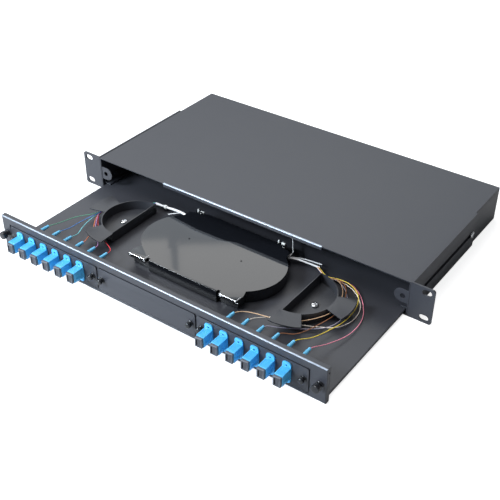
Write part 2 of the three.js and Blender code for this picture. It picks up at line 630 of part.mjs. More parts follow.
// The guides stand on the tray; the splice tray stands between them.
for (const { name, sign } of sides) {
  const stand = new THREE.Group();
  stand.position.set(sign * guide.x, storageY, trayTop + gap);
  stand.add(piece(`fibre_guide_${name}`, powderCoat, fibreGuide(sign)));
  stand.add(piece(`guide_screw_${name}`, nickel, guideScrew(sign)));
  drawer.add(stand);
}
const spliceStand = new THREE.Group();
spliceStand.position.y = storageY;
spliceStand.add(piece('splice_tray_base', blackPlastic, spliceTrayBase()));
spliceStand.add(piece('splice_tray_lid', blackPlastic, spliceTrayLid()));
drawer.add(spliceStand);

drawer.add(piece('pigtails_left', skyBlue, pigtails(-1, leftHarness)));
drawer.add(piece('pigtails_right', skyBlue, pigtails(1, rightHarness)));

const terminationBox = new THREE.Group();
terminationBox.add(chassis, drawer);

export default terminationBox;
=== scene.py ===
# %% [markdown]
# # A sliding fibre termination box for a 19-inch rack
# The box is folded sheet steel with a fine black powder coat. Its drawer is pulled out and carries
# two half-moon fibre guides, a glossy splice tray and twelve blue adapters in the front panel.
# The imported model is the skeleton: sheet parts whose shape is right keep it and get a finish. The
# panel, the cover and the module plates get rounder folds and corners, and moulded, turned and soft
# parts are made again here with the detail that they have in the hand.

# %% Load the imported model
import json
import math
import bmesh
import bpy
from mathutils import Matrix, Vector

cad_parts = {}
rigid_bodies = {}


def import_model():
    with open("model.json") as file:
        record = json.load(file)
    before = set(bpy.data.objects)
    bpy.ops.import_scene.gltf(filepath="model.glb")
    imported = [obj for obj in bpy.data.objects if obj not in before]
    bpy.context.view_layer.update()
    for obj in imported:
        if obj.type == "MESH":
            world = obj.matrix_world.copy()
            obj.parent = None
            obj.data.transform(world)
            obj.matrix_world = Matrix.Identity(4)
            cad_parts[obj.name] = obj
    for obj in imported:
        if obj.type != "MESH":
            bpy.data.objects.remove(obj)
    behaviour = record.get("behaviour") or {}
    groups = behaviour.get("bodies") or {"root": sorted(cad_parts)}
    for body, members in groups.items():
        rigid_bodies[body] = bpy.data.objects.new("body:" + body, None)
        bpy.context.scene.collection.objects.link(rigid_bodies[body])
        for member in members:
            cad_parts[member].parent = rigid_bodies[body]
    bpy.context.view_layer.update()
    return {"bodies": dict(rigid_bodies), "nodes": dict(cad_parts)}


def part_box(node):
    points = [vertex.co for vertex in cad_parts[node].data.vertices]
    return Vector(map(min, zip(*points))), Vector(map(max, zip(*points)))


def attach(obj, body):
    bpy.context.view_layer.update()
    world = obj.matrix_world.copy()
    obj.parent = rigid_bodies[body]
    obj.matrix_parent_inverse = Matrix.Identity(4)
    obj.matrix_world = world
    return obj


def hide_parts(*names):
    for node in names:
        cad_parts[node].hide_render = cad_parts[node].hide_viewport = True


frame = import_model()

MM = 0.001
SIDES = (("left", -1), ("right", 1))


def mm(*numbers):
    return tuple(n * MM for n in numbers)


def in_mm(points):
    return [mm(*point) for point in points]


def placed(name, data):
    thing = bpy.data.objects.new(name, data)
    bpy.context.scene.collection.objects.link(thing)
    return thing


def middle_of(name):
    low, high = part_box(name)
    return (low + high) / 2


for leftover in list(bpy.data.objects):
    if leftover not in set(frame["nodes"].values()) | set(frame["bodies"].values()):
        bpy.data.objects.remove(leftover)

# %% [markdown]
# ## Camera
# The box is looked at from its front right corner, a little over 35 degrees above the table, with
# a normal lens about a metre away. The camera is placed by its aim point, distance and two angles,
# because these are the numbers that a person moves by hand when framing a product.

# %% Place the camera
AIM = Vector((15.0, -113.33, 0)) * MM
DISTANCE = 1.00996
AROUND, ABOVE, ROLL = math.radians(35.459), math.radians(35.521), math.radians(0.367)
LENS_MM = 63.74

back = Vector((math.sin(AROUND) * math.cos(ABOVE), -math.cos(AROUND) * math.cos(ABOVE), math.sin(ABOVE)))
level = Vector((math.cos(AROUND), math.sin(AROUND), 0))
upward = back.cross(level)
right = math.cos(ROLL) * level + math.sin(ROLL) * upward
upward = back.cross(right)
camera_data = bpy.data.cameras.new("camera")
camera_data.lens, camera_data.sensor_width = LENS_MM, 36
camera_data.clip_start, camera_data.clip_end = 0.01, 50
camera = placed("camera", camera_data)
facing = Matrix((right, upward, back)).transposed().to_4x4()
camera.matrix_world = Matrix.Translation(AIM + back * DISTANCE) @ facing
bpy.context.scene.camera = camera
print("camera at", [round(c, 3) for c in camera.location])

# %% [markdown]
# ## Places that everything is measured from
# The case stands still and the drawer is drawn out to its stop. The panel's outer face and the
# centre of the fibre storage behind it are the two places that the drawer's pieces are measured from.

# %% Measure the frame
PANEL_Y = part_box("front_panel")[0].y
ADAPTERS = [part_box(f"sc_adapter_{i}") for i in range(1, 13)]
ADAPTER_X = [(low.x + high.x) / 2 for low, high in ADAPTERS]
ADAPTER_Z = (ADAPTERS[0][0].z + ADAPTERS[0][1].z) / 2
GUIDE_X, STORE_BEHIND = 115.5, 109.5
STORE_Y = PANEL_Y + STORE_BEHIND * MM
print(f"panel at y {PANEL_Y / MM:.1f}, storage at y {STORE_Y / MM:.1f}, adapters at z {ADAPTER_Z / MM:.1f}")


# %% [markdown]
# ## Colours and shared effects
# Colours are picked the way a paint chart gives them and turned into linear light. Effects that
# several finishes share are node groups: a fine grain, a cloudy change of shade, settled dust on
# faces that look up, and edges made lighter, partly by handling wear and partly as a painted
# highlight.

# %% Turn a chart colour into light
def chart(code):
    parts = [int(code[i:i + 2], 16) / 255 for i in (0, 2, 4)]
    return tuple(((c + 0.055) / 1.055) ** 2.4 if c > 0.04045 else c / 12.92 for c in parts) + (1,)


print("mid grey as light:", round(chart("808080")[0], 3))


# %% Node group helpers
def effect_group(name, numbers, outputs):
    group = bpy.data.node_groups.new(name, "ShaderNodeTree")
    for label, start in numbers.items():
        socket = group.interface.new_socket(name=label, in_out="INPUT", socket_type="NodeSocketFloat")
        socket.default_value = start
    for label in outputs:
        group.interface.new_socket(name=label, in_out="OUTPUT", socket_type="NodeSocketFloat")
    return group, group.nodes.new("NodeGroupInput"), group.nodes.new("NodeGroupOutput")


def node(tree, kind, **settings):
    made = tree.nodes.new(kind)
    for key, value in settings.items():
        setattr(made, key, value)
    return made


def maths(tree, operation, first, second=None, clamp=False):
    made = node(tree, "ShaderNodeMath", operation=operation, use_clamp=clamp)
    for slot_number, value in enumerate((first, second)):
        if value is None:
            continue
        if isinstance(value, (int, float)):
            made.inputs[slot_number].default_value = value
        else:
            tree.links.new(value, made.inputs[slot_number])
    return made.outputs[0]


def noise(tree, coordinates, scale, detail, roughness=0.5):
    made = node(tree, "ShaderNodeTexNoise")
    made.inputs["Detail"].default_value = detail
    made.inputs["Roughness"].default_value = roughness
    tree.links.new(coordinates, made.inputs["Vector"])
    if isinstance(scale, (int, float)):
        made.inputs["Scale"].default_value = scale
    else:
        tree.links.new(scale, made.inputs["Scale"])
    return made.outputs["Fac"]


# %% [markdown]
# Grain is the small relief of a coat or a mould: fine noise with rounded bumps between. Cloud is a
# slow change of shade, because no real coat is one even tone.

# %% Grain and cloud
GRAIN, inside, outside = effect_group(
    "grain", {"Bumps per metre": 1800, "Cloud per metre": 14}, ["Height", "Speckle", "Cloud"])
where = node(GRAIN, "ShaderNodeTexCoord").outputs["Object"]
fine = noise(GRAIN, where, inside.outputs["Bumps per metre"], 3, 0.6)
cells = node(GRAIN, "ShaderNodeTexVoronoi")
GRAIN.links.new(where, cells.inputs["Vector"])
GRAIN.links.new(inside.outputs["Bumps per metre"], cells.inputs["Scale"])
rounded = maths(GRAIN, "SUBTRACT", 1.0, cells.outputs["Distance"])
relief = maths(GRAIN, "ADD", maths(GRAIN, "MULTIPLY", fine, 0.6), maths(GRAIN, "MULTIPLY", rounded, 0.4))
GRAIN.links.new(relief, outside.inputs["Height"])
GRAIN.links.new(fine, outside.inputs["Speckle"])
GRAIN.links.new(noise(GRAIN, where, inside.outputs["Cloud per metre"], 4), outside.inputs["Cloud"])
print("grain group has", len(GRAIN.nodes), "nodes")

# %% [markdown]
# Dust settles on faces that look up and is thicker in some patches. The face's own direction gives
# the amount, broken up by noise so that it never shows a hard border.

# %% Settled dust
DUST, inside, outside = effect_group("settled_dust", {"Amount": 0.3}, ["Mask"])
surface = node(DUST, "ShaderNodeNewGeometry")
split = node(DUST, "ShaderNodeSeparateXYZ")
DUST.links.new(surface.outputs["Normal"], split.inputs[0])
facing_up = maths(DUST, "POWER", maths(DUST, "MAXIMUM", split.outputs["Z"], 0.0), 3.0)
where = node(DUST, "ShaderNodeTexCoord").outputs["Object"]
patches = noise(DUST, where, 22.0, 6, 0.62)
specks = maths(DUST, "GREATER_THAN", noise(DUST, where, 900.0, 2), 0.66)
cover = maths(DUST, "ADD", maths(DUST, "MULTIPLY", patches, 0.7), maths(DUST, "MULTIPLY", specks, 0.5))
amount = maths(DUST, "MULTIPLY", facing_up, inside.outputs["Amount"])
DUST.links.new(maths(DUST, "MULTIPLY", cover, amount, clamp=True), outside.inputs["Mask"])
print("dust group has", len(DUST.nodes), "nodes")

# %% [markdown]
# Handling rubs the outer edges first, and the lighter edge also stands in as a painted highlight
# along edges that would catch the light. The bend of the surface finds the edges, and noise keeps
# the lighter line from being even.

# %% Rubbed edges, with a painted edge highlight
RUBBED_AND_SHEEN, inside, outside = effect_group("rubbed_and_sheen_edges", {"Amount": 0.5}, ["Mask"])
surface = node(RUBBED_AND_SHEEN, "ShaderNodeNewGeometry")
sharper = maths(RUBBED_AND_SHEEN, "SUBTRACT", surface.outputs["Pointiness"], 0.52)
bend = maths(RUBBED_AND_SHEEN, "MULTIPLY", sharper, 9.0, clamp=True)
where = node(RUBBED_AND_SHEEN, "ShaderNodeTexCoord").outputs["Object"]
broken = maths(RUBBED_AND_SHEEN, "ADD", noise(RUBBED_AND_SHEEN, where, 160.0, 5, 0.7), 0.15)
worn_and_sheen = maths(RUBBED_AND_SHEEN, "MULTIPLY", bend, broken)
worn_and_sheen = maths(RUBBED_AND_SHEEN, "MULTIPLY", worn_and_sheen, inside.outputs["Amount"], clamp=True)
RUBBED_AND_SHEEN.links.new(worn_and_sheen, outside.inputs["Mask"])
print("rubbed edges group has", len(RUBBED_AND_SHEEN.nodes), "nodes")


# %% [markdown]
# One recipe makes every finish: a base colour that drifts between two shades, lighter where dust
# lies and along edges, for rubbing and as a painted highlight, a roughness that follows the grain,
# and a bump of the grain's height.

# %% The recipe for a finish
def finish(name, dark, light, rough, grain, bump, dust=0.0, rubbed_and_sheen=0.0, metallic=0.0, coat=0.0,
           dust_colour="8C8C8A", rubbed_and_sheen_colour="B9BCC2", cloud=14):
    material = bpy.data.materials.new(name)
    material.use_nodes = True
    tree = material.node_tree
    shader = tree.nodes["Principled BSDF"]
    shader.inputs["Metallic"].default_value = metallic
    shader.inputs["Coat Weight"].default_value = coat
    shader.inputs["Coat Roughness"].default_value = 0.05
    relief = node(tree, "ShaderNodeGroup", node_tree=GRAIN)
    relief.inputs["Bumps per metre"].default_value = grain
    relief.inputs["Cloud per metre"].default_value = cloud

    def blend(factor, first, second):
        mix = node(tree, "ShaderNodeMix", data_type="RGBA")
        tree.links.new(factor, mix.inputs["Factor"])
        for place, value in ((6, first), (7, second)):
            if isinstance(value, tuple):
                mix.inputs[place].default_value = value
            else:
                tree.links.new(value, mix.inputs[place])
        return mix.outputs[2]

    drift = maths(tree, "ADD", maths(tree, "MULTIPLY", relief.outputs["Cloud"], 0.6),
                  maths(tree, "MULTIPLY", relief.outputs["Speckle"], 0.4), clamp=True)
    colour = blend(drift, chart(dark), chart(light))
    # Edges made lighter: partly handling wear, partly a painted highlight.
    if rubbed_and_sheen:
        worn_and_sheen = node(tree, "ShaderNodeGroup", node_tree=RUBBED_AND_SHEEN)
        worn_and_sheen.inputs["Amount"].default_value = rubbed_and_sheen
        colour = blend(worn_and_sheen.outputs["Mask"], colour, chart(rubbed_and_sheen_colour))
    if dust:
        settled = node(tree, "ShaderNodeGroup", node_tree=DUST)
        settled.inputs["Amount"].default_value = dust
        colour = blend(settled.outputs["Mask"], colour, chart(dust_colour))
    tree.links.new(colour, shader.inputs["Base Color"])
    span = maths(tree, "MULTIPLY", relief.outputs["Cloud"], rough[1] - rough[0])
    tree.links.new(maths(tree, "ADD", span, rough[0], clamp=True), shader.inputs["Roughness"])
    height = node(tree, "ShaderNodeBump")
    height.inputs["Strength"].default_value = bump
    height.inputs["Distance"].default_value = 0.0002
    tree.links.new(relief.outputs["Height"], height.inputs["Height"])
    tree.links.new(height.outputs["Normal"], shader.inputs["Normal"])
    return material


# %% [markdown]
# ## Floor and light
# The box stands on a plain white table with no edge in sight, before a room as pale as the table. A
# large cool softbox hangs behind it with two smaller warm ones in front of it, where the glossy lid
# of the splice tray mirrors their lower edges, and one more hangs overhead. Two cool ones stand in
# front on the left: a small one draws a bright line along each fold, and a wider one opens up the
# panel. The table glows a little on its left. The right side gets only what the table gives back.

# %% Table
TABLE_HALF, TABLE_TOP, TABLE_SHADE = 40, -0.0002, 0.62
GLOW_SEEN, GLOW_LEFT, GLOW_END, GLOW_RISE = 0.8, 0.4, 0.22, 1.2
corners = [(TABLE_HALF * x, TABLE_HALF * y, TABLE_TOP) for x, y in ((-1, -1), (1, -1), (1, 1), (-1, 1))]
table_mesh = bpy.data.meshes.new("table")
table_mesh.from_pydata(corners, [], [(0, 1, 2, 3)])
table = placed("table", table_mesh)
white = bpy.data.materials.new("white_table")
white.use_nodes = True
tree = white.node_tree
shader = tree.nodes["Principled BSDF"]
shader.inputs["Base Color"].default_value = (TABLE_SHADE, TABLE_SHADE, TABLE_SHADE, 1)
shader.inputs["Roughness"].default_value = 0.9
shader.inputs["Specular IOR Level"].default_value = 0.1
shader.inputs["Emission Color"].default_value = (1, 1, 1, 1)
looked_at = node(tree, "ShaderNodeLightPath").outputs["Is Camera Ray"]
across = node(tree, "ShaderNodeSeparateXYZ")
tree.links.new(node(tree, "ShaderNodeTexCoord").outputs["Object"], across.inputs["Vector"])
from_end = maths(tree, "SUBTRACT", GLOW_END, across.outputs["X"])
on_left = maths(tree, "MULTIPLY", maths(tree, "MULTIPLY", from_end, GLOW_RISE, clamp=True), GLOW_LEFT)
glow = maths(tree, "MAXIMUM", maths(tree, "MULTIPLY", looked_at, GLOW_SEEN), on_left)
tree.links.new(glow, shader.inputs["Emission Strength"])
table_mesh.materials.append(white)
print("table of", 2 * TABLE_HALF, "m")


# %% Softboxes
def softbox(name, place, towards, size, watts, colour, roll=0):
    data = bpy.data.lights.new(name, "AREA")
    data.shape, data.size, data.size_y = "RECTANGLE", size[0], size[1]
    data.energy, data.color = watts, colour
    lamp = placed(name, data)
    aim = (Vector(place) - Vector(towards)).to_track_quat("Z", "Y").to_matrix().to_4x4()
    lamp.matrix_world = Matrix.Translation(place) @ aim @ Matrix.Rotation(math.radians(roll), 4, "Z")


def beside(place, towards, aside, up):
    """A place moved sideways and up in the plane of a softbox that faces its target."""
    out = (Vector(place) - Vector(towards)).normalized()
    sideways = Vector((0, 0, 1)).cross(out).normalized()
    return Vector(place) + sideways * aside + out.cross(sideways) * up


COOL, WARM, CLEAR, BLUISH = (0.86, 0.93, 1), (1, 0.93, 0.84), (0.84, 0.92, 1), (0.72, 0.86, 1)
REAR, AIMED, AT_PANEL = (-0.95, 1.3, 1.35), (0, -0.1, 0), (-0.05, -0.25, 0.02)
ROOM_LIGHT = 0.22
softbox("softbox_rear", REAR, AIMED, (2.4, 1.3), 13, COOL)
softbox("softbox_rear_left", beside(REAR, AIMED, 0.74, 0.22), AIMED, (0.9, 0.6), 2.0, WARM, -11)
softbox("softbox_rear_right", beside(REAR, AIMED, -0.12, 0.20), AIMED, (0.84, 0.6), 1.9, WARM, 4)
softbox("softbox_top", (-0.3, -0.35, 1.5), (0, -0.2, 0), (1.0, 0.8), 12, (1, 1, 1))
softbox("softbox_fold", (-0.85, -1.2, 0.95), AT_PANEL, (0.4, 0.35), 26, CLEAR)
softbox("softbox_front_left", (-0.75, -1.5, 0.4), AT_PANEL, (0.8, 0.5), 24, BLUISH)
world = bpy.data.worlds.new("studio")
world.use_nodes = True
room = world.node_tree.nodes["Background"]
room.inputs["Color"].default_value = (0.93, 0.96, 1, 1)
looked_at = node(world.node_tree, "ShaderNodeLightPath").outputs["Is Camera Ray"]
world.node_tree.links.new(maths(world.node_tree, "MAXIMUM", looked_at, ROOM_LIGHT), room.inputs["Strength"])
bpy.context.scene.world = world
bpy.context.scene.view_settings.view_transform = "Standard"
print("six softboxes and a soft room light")


# %% [markdown]
# ## Fibres
# A pigtail fibre has a 0.9 mm coloured jacket, limp but springy. Each one leaves its connector's
# boot straight, sweeps round the outside of its guide under the flat tabs, and joins the others in
# a white sleeve that leads into the splice tray. A curve with a round section suits a fibre best:
# the line is its route, and the section is its jacket.

# %% Smooth line through given points
def smooth_line(points, per_span=24):
    """A centripetal Catmull-Rom line: it passes every point and never overshoots a close pair."""
    p = [Vector(q) for q in points]
    p = [2 * p[0] - p[1]] + p + [2 * p[-1] - p[-2]]
    line = []
    for a, b, c, d in zip(p, p[1:], p[2:], p[3:]):
        t1 = (b - a).length ** 0.5
        t2 = t1 + (c - b).length ** 0.5
        t3 = t2 + (d - c).length ** 0.5
        for step in range(per_span):
            t = t1 + (t2 - t1) * step / per_span
            ab = a.lerp(b, t / t1)
            bc = b.lerp(c, (t - t1) / (t2 - t1))
            cd = c.lerp(d, (t - t2) / (t3 - t2))
            abc, bcd = ab.lerp(bc, t / t2), bc.lerp(cd, (t - t1) / (t3 - t1))
            line.append(abc.lerp(bcd, (t - t1) / (t2 - t1)))
    return line + [p[-2]]


def evenly(line, count):
    """The same line with count points, spaced evenly along it, and its length."""
    reach = [0.0]
    for a, b in zip(line, line[1:]):
        reach.append(reach[-1] + (b - a).length)
    spaced, k = [], 0
    for i in range(count):
        goal = reach[-1] * i / (count - 1)
        while k < len(line) - 2 and reach[k + 1] < goal:
            k += 1
        spaced.append(line[k].lerp(line[k + 1], (goal - reach[k]) / (reach[k + 1] - reach[k])))
    return spaced, reach[-1]


def tube(name, points, radius, material, count=40):
    spaced, length = evenly(smooth_line(points), count)
    data = bpy.data.curves.new(name, "CURVE")
    data.dimensions, data.bevel_depth, data.bevel_resolution = "3D", radius, 3
    data.use_fill_caps = True
    data.resolution_u = 3
    spline = data.splines.new("NURBS")
    spline.points.add(count - 1)
    for point, place in zip(spline.points, spaced):
        point.co = (*place, 1)
    spline.order_u, spline.use_endpoint_u, spline.use_smooth = 4, True, True
    data.materials.append(material)
    return placed(name, data), length, spaced


# %% [markdown]
# The routes are the driving points of the model, in millimetres: distance from the middle, depth
# behind the panel and height. Points given by an angle and a radius lie round the guide's centre.
# A lead is one fibre's own way, and a bundle is the way that six share, each in its own slot of
# it, given in millimetres outwards and up. Sleeve, second and spare are the white
# strands at the splice tray.

# %% Routes of the fibres
def around(degrees, radius, z):
    angle = math.radians(degrees)
    return (GUIDE_X + radius * math.cos(angle), STORE_BEHIND + radius * math.sin(angle), z)


LEFT = {
    "leads": [
        [(184, 54, 14.5), around(-27, 72.5, 12.2)],
        [(166.5, 54, 14.5), around(-35, 64, 12.4)],
        [(151, 52, 14), around(-37, 58, 10.6)],
        [(136, 52, 14), around(-51, 48.7, 10.4), around(-30, 47.8, 10)],
        [(118, 51, 14.5), around(-70, 50, 12.6), around(-40, 45, 12)],
        [(99, 51, 14.5), around(-80, 46, 12), around(-42, 42.4, 10.6)],
    ],
    "slots": [(1, .5), (0, .5), (1, -.5), (0, -.5), (-1, .5), (-1, -.5)],
    "bundle": [(-8, 50, 10.6), (16, 48, 10.2), (38, 43.5, 8.8), (56, 42.5, 8.3), (68, 45, 9),
               (76, 49.2, 9.9), (79.5, 50, 10.1)],
    "sleeve": [(125, 158.6, 10.1), (110, 159.2, 10.3), (96, 159.5, 11.2), (84, 158.2, 12.4),
               (73, 155.5, 13), (62, 152, 13)],
    "spare": [(66, 152.6, 13), (76, 157.5, 12.6), (85, 160.5, 10.8), (93, 155.2, 9.6), (99.5, 150.6, 8.4)],
    "jackets": ["63A98A", "5C90D6", "86E0E8", "E8845A", "C08CC4", "E04048"],
}
RIGHT = {
    "leads": [
        [(88, 52, 15), around(-75, 47, 14.2), around(-45, 42, 14), around(-5, 41.6, 13.4),
         around(35, 43, 12), around(60, 48, 10.8)],
        [(104, 55, 13.5), (114, 65, 11.8), around(-56, 45.5, 10.4), around(-38, 49, 9.3),
         around(-18, 57.4, 8.1), around(2, 61.5, 7.2), around(24, 62.4, 7.2),
         around(50, 58, 7.9)],
        [(127, 53, 13), around(-45, 52, 10.2), around(-23, 53, 8.6), around(0, 51, 7.6),
         around(30, 48.5, 8), around(58, 50, 8.4)],
        [(145, 54, 13), around(-33, 47.5, 11.2), around(0, 44, 10.4), around(30, 45.4, 9.9),
         around(58, 51.5, 10)],
        [(161, 60, 12.5), around(-27, 58.5, 10.2), around(-6, 57.2, 9.9), around(22, 58.8, 9.4),
         around(42, 60.2, 9.2), around(60, 57.5, 9.6)],
        [(177, 60, 12), around(-15.8, 73, 8.5), around(6.7, 69, 7.2), around(23.6, 65.4, 7),
         around(41, 63, 7.1), around(60, 60, 7.8)],
    ],
    "slots": [(-1, .5), (0, -.5), (-1, -.5), (0, .5), (1, .5), (1, -.5)],
    "bundle": [(74, 51, 8.8), (86, 46.5, 8.4), (97, 50.5, 9.3), (102.3, 55.4, 10.1), (104.4, 56.4, 10.3)],
    "sleeve": [(104, 164.5, 10.2), (90, 163, 11), (78, 160.5, 12.3), (69.5, 156.8, 13), (62, 152, 13)],
    "second": [(66, 155.5, 13.4), (73, 160.5, 12.8), (81, 166, 11.4), (92, 169, 10.4), (103, 171, 9.8)],
    "spare": [(69.5, 156.5, 14.2), (68.6, 161, 14.6), (68.2, 166, 14.8), (63.8, 172, 14.6), (58, 181, 14),
              (52, 190, 13)],
    "jackets": ["F0C8A0", "FFF4E6", "B4AEC2", "A8704E", "FFE050", "FF9AB0"],
}


def on_drawer(sign, points):
    return [(sign * x * MM, PANEL_Y + y * MM, z * MM) for x, y, z in points]


HARNESSES = (("left", -1, LEFT), ("right", 1, RIGHT))
print(len(LEFT["leads"]) + len(RIGHT["leads"]), "leads")

# %% Lay the twelve fibres
FIBRE_RADIUS = 0.45 * MM
BOOT_END, BOOT_Z = 40.0, 17.8
for side, sign, harness in HARNESSES:
    for i, lead in enumerate(harness["leads"]):
        across, above = harness["slots"][i]
        shared = [around(turn, radius + across, z + above) for turn, radius, z in harness["bundle"]]
        x = abs(ADAPTER_X[i if sign < 0 else i + 6]) / MM
        route = [(x, BOOT_END - 3, BOOT_Z), (x, BOOT_END + 2, BOOT_Z - 0.4), *lead, *shared]
        colour = harness["jackets"][i]
        jacket = finish(f"jacket_{side}_{i + 1}", colour, colour, (0.32, 0.45), 2500, 0.05, cloud=60)
        fibre, length, spaced = tube(f"fibre_{side}_{i + 1}", on_drawer(sign, route), FIBRE_RADIUS, jacket)
        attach(fibre, "drawer")
        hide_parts(f"pigtails_{side}")
        print(f"{fibre.name}: {length / MM:.0f} mm")

# %% [markdown]
# A white sleeve keeps the six fibres together where they enter the splice tray. A thinner second
# strand leaves the tray on the right, and one loose spare strand on each side. All are plain soft
# tubes, so a round section on a short curve makes each of them.

# %% Lay the sleeves
sleeve_white = finish("sleeve_white", "E4E4E6", "F4F4F4", (0.35, 0.5), 1500, 0.08)
WHITE_RADII = {"left": {"sleeve": 1.5 * MM, "spare": 0.6 * MM},
               "right": {"sleeve": 1.1 * MM, "second": 0.7 * MM, "spare": 0.6 * MM}}
for side, sign, harness in HARNESSES:
    for which, radius in WHITE_RADII[side].items():
        route = on_drawer(sign, harness[which])
        sleeve, length, spaced = tube(f"{which}_{side}", route, radius, sleeve_white, 24)
        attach(sleeve, "drawer")
        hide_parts(f"pigtails_{side}")
        print(f"{sleeve.name}: {length / MM:.0f} mm")

# %% [markdown]
# ## Shop tools for moulded and turned parts
# Four tools make every hard part: a rounded block, a turned profile, an outline raised to a slab,
# and cutting one shape out of another or joining it on. Each mesh is then smoothed up to its real
# edges.

# %% Blocks, turned shapes and slabs
def round_off(bm, edges, radius, segments):
    return bmesh.ops.bevel(bm, geom=edges, offset=radius, segments=segments, profile=0.5,
                           affect="EDGES", clamp_overlap=True)


def block(bm, low, high, rounding=0.0, segments=2):
    made = bmesh.ops.create_cube(bm, size=1)["verts"]
    size = Vector(high) - Vector(low)
    middle = (Vector(high) + Vector(low)) / 2
    for v in made:
        v.co = Vector(v.co[i] * size[i] + middle[i] for i in range(3))
    if rounding:
        round_off(bm, list({e for v in made for e in v.link_edges}), rounding, segments)


def turned(bm, profile, at, axis="y", sides=32):
    """A profile of (radius, along) pairs turned about an axis through at. Radius 0 closes an end."""
    rings = []
    for radius, along in profile:
        ring = []
        for k in range(sides if radius > 0 else 1):
            a = 2 * math.pi * k / sides
            c, s = radius * math.cos(a), radius * math.sin(a)
            offset = {"x": (along, c, s), "y": (s, along, c), "z": (c, s, along)}[axis]
            ring.append(bm.verts.new(Vector(at) + Vector(offset)))
        rings.append(ring)
    for first, second in zip(rings, rings[1:]):
        for k in range(sides):
            n = (k + 1) % sides
            corners = [first[k % len(first)], first[n % len(first)],
                       second[n % len(second)], second[k % len(second)]]
            distinct = list(dict.fromkeys(corners))
            if len(distinct) > 2:
                bm.faces.new(distinct)
    if len(rings[0]) > 1 and profile[0] == profile[-1]:
        bmesh.ops.remove_doubles(bm, verts=rings[0] + rings[-1], dist=1e-7)


def slab(bm, outline, low, high, rounding=0.0, segments=2):
    bottom = [bm.verts.new((x, y, low)) for x, y in outline]
    top = [bm.verts.new((x, y, high)) for x, y in outline]
    caps = [bm.faces.new(bottom[::-1]), bm.faces.new(top)]
    for k in range(len(outline)):
        n = (k + 1) % len(outline)
        bm.faces.new((bottom[k], bottom[n], top[n], top[k]))
    if rounding:
        round_off(bm, list({e for f in caps for e in f.edges}), rounding, segments)


def rounded_outline(half_w, half_h, corner, steps):
    """The outline of a plate with round corners, from its right side round by its top."""
    outline = []
    for quarter, (cx, cy) in enumerate(((1, 1), (-1, 1), (-1, -1), (1, -1))):
        for k in range(steps + 1):
            a = math.radians(90 * quarter + 90 * k / steps)
            outline.append((cx * (half_w - corner) + corner * math.cos(a),
                            cy * (half_h - corner) + corner * math.sin(a)))
    return outline


def stand_up(bm):
    bmesh.ops.rotate(bm, cent=(0, 0, 0), matrix=Matrix.Rotation(math.radians(90), 3, "X"), verts=bm.verts)


# %% Meshes, cuts and joins
CUT, JOIN = "DIFFERENCE", "UNION"
WELD, SMOOTH_UP_TO = 2e-6, math.radians(32)


def smoothed(mesh):
    mesh.shade_smooth()
    mesh.set_sharp_from_angle(angle=SMOOTH_UP_TO)
    return mesh


def mesh_of(name, build):
    bm = bmesh.new()
    build(bm)
    bmesh.ops.remove_doubles(bm, verts=bm.verts, dist=WELD)
    bmesh.ops.recalc_face_normals(bm, faces=bm.faces)
    mesh = bpy.data.meshes.new(name)
    bm.to_mesh(mesh)
    bm.free()
    return smoothed(mesh)


def combined(name, build, tools):
    """The built shape with each tool cut out of it, or joined to it."""
    scratch = [placed(name, mesh_of(name, build))]
    for tool, how in tools:
        cutter = placed("cutter", mesh_of("cutter", tool))
        scratch.append(cutter)
        step = scratch[0].modifiers.new("cut", "BOOLEAN")
        step.operation, step.solver, step.object = how, "EXACT", cutter
    view = bpy.context.evaluated_depsgraph_get()
    mesh = bpy.data.meshes.new_from_object(scratch[0].evaluated_get(view))
    mesh.name = name
    for used in scratch:
        bpy.data.objects.remove(used)
    return smoothed(mesh)


# %% Small rounds, and putting a piece in its place
def piece(name, mesh, body, material, stands_for=(), at=(0, 0, 0)):
    """Put a mesh in the scene as a piece of the box, with its finish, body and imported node."""
    if not mesh.materials:
        mesh.materials.append(material)
    made = placed(name, mesh)
    made.location = at
    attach(made, body)
    if stands_for:
        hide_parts(*stands_for)
    return made


def soften(made, width, whole_faces=True):
    """Round the sharp edges of a piece by a small amount, so that they catch the light."""
    weld = made.modifiers.new("weld", "WELD")
    weld.merge_threshold = WELD
    if whole_faces:
        flat = made.modifiers.new("flat_faces", "DECIMATE")
        flat.decimate_type, flat.angle_limit = "DISSOLVE", math.radians(0.5)
    edge = made.modifiers.new("edge", "BEVEL")
    edge.width, edge.segments = width, 2
    edge.limit_method, edge.angle_limit = "ANGLE", math.radians(35)
    edge.use_clamp_overlap = True
    normals = made.modifiers.new("shading", "WEIGHTED_NORMAL")
    normals.keep_sharp = True


# %% [markdown]
# ## Sheet steel
# The case, cover, ears, rails, tray, panel and plates are folded from 1.2 mm steel, punched, and
# powder coated. The first six below have the right shape in the model, so they stay. What they need
# is the round that folding and coating leave on every edge, and the coat itself: black with a fine
# orange-peel grain that mirrors the studio softly. Panel, cover and plates follow in their own cells.

# %% Powder coat
powder = finish("powder_coat", "323338", "393A40", (0.38, 0.44), 1400, 0.16, dust=0.03, cloud=5)
SHEET_PARTS = {
    "chassis_base": 0.35, "tray_rail_left": 0.3, "tray_rail_right": 0.3,
    "rack_ear_left": 0.35, "rack_ear_right": 0.35, "drawer_tray": 0.35,
}
for name, rounding in SHEET_PARTS.items():
    part = frame["nodes"][name]
    part.data.materials.clear()
    part.data.materials.append(powder)
    soften(part, rounding * MM, whole_faces=not name.startswith("rack_ear"))
print(len(SHEET_PARTS), "sheet parts coated")

# %% [markdown]
# The folds that catch the light are the long ones: along the panel's top and ends, and along the
# front lip of the cover. Steel of 1.2 mm folds to an outside radius of a little more than its own
# thickness, so these two parts are copied and their fold edges get that radius before the small
# rounds go on. Plain coat leaves the folds too dull under these lights, so their faces get a
# lighter, shinier coat: a painted highlight that stands in for the bright line. On the cover only
# the middle of the lip is folded so wide: the sheet is divided on both sides of it first.

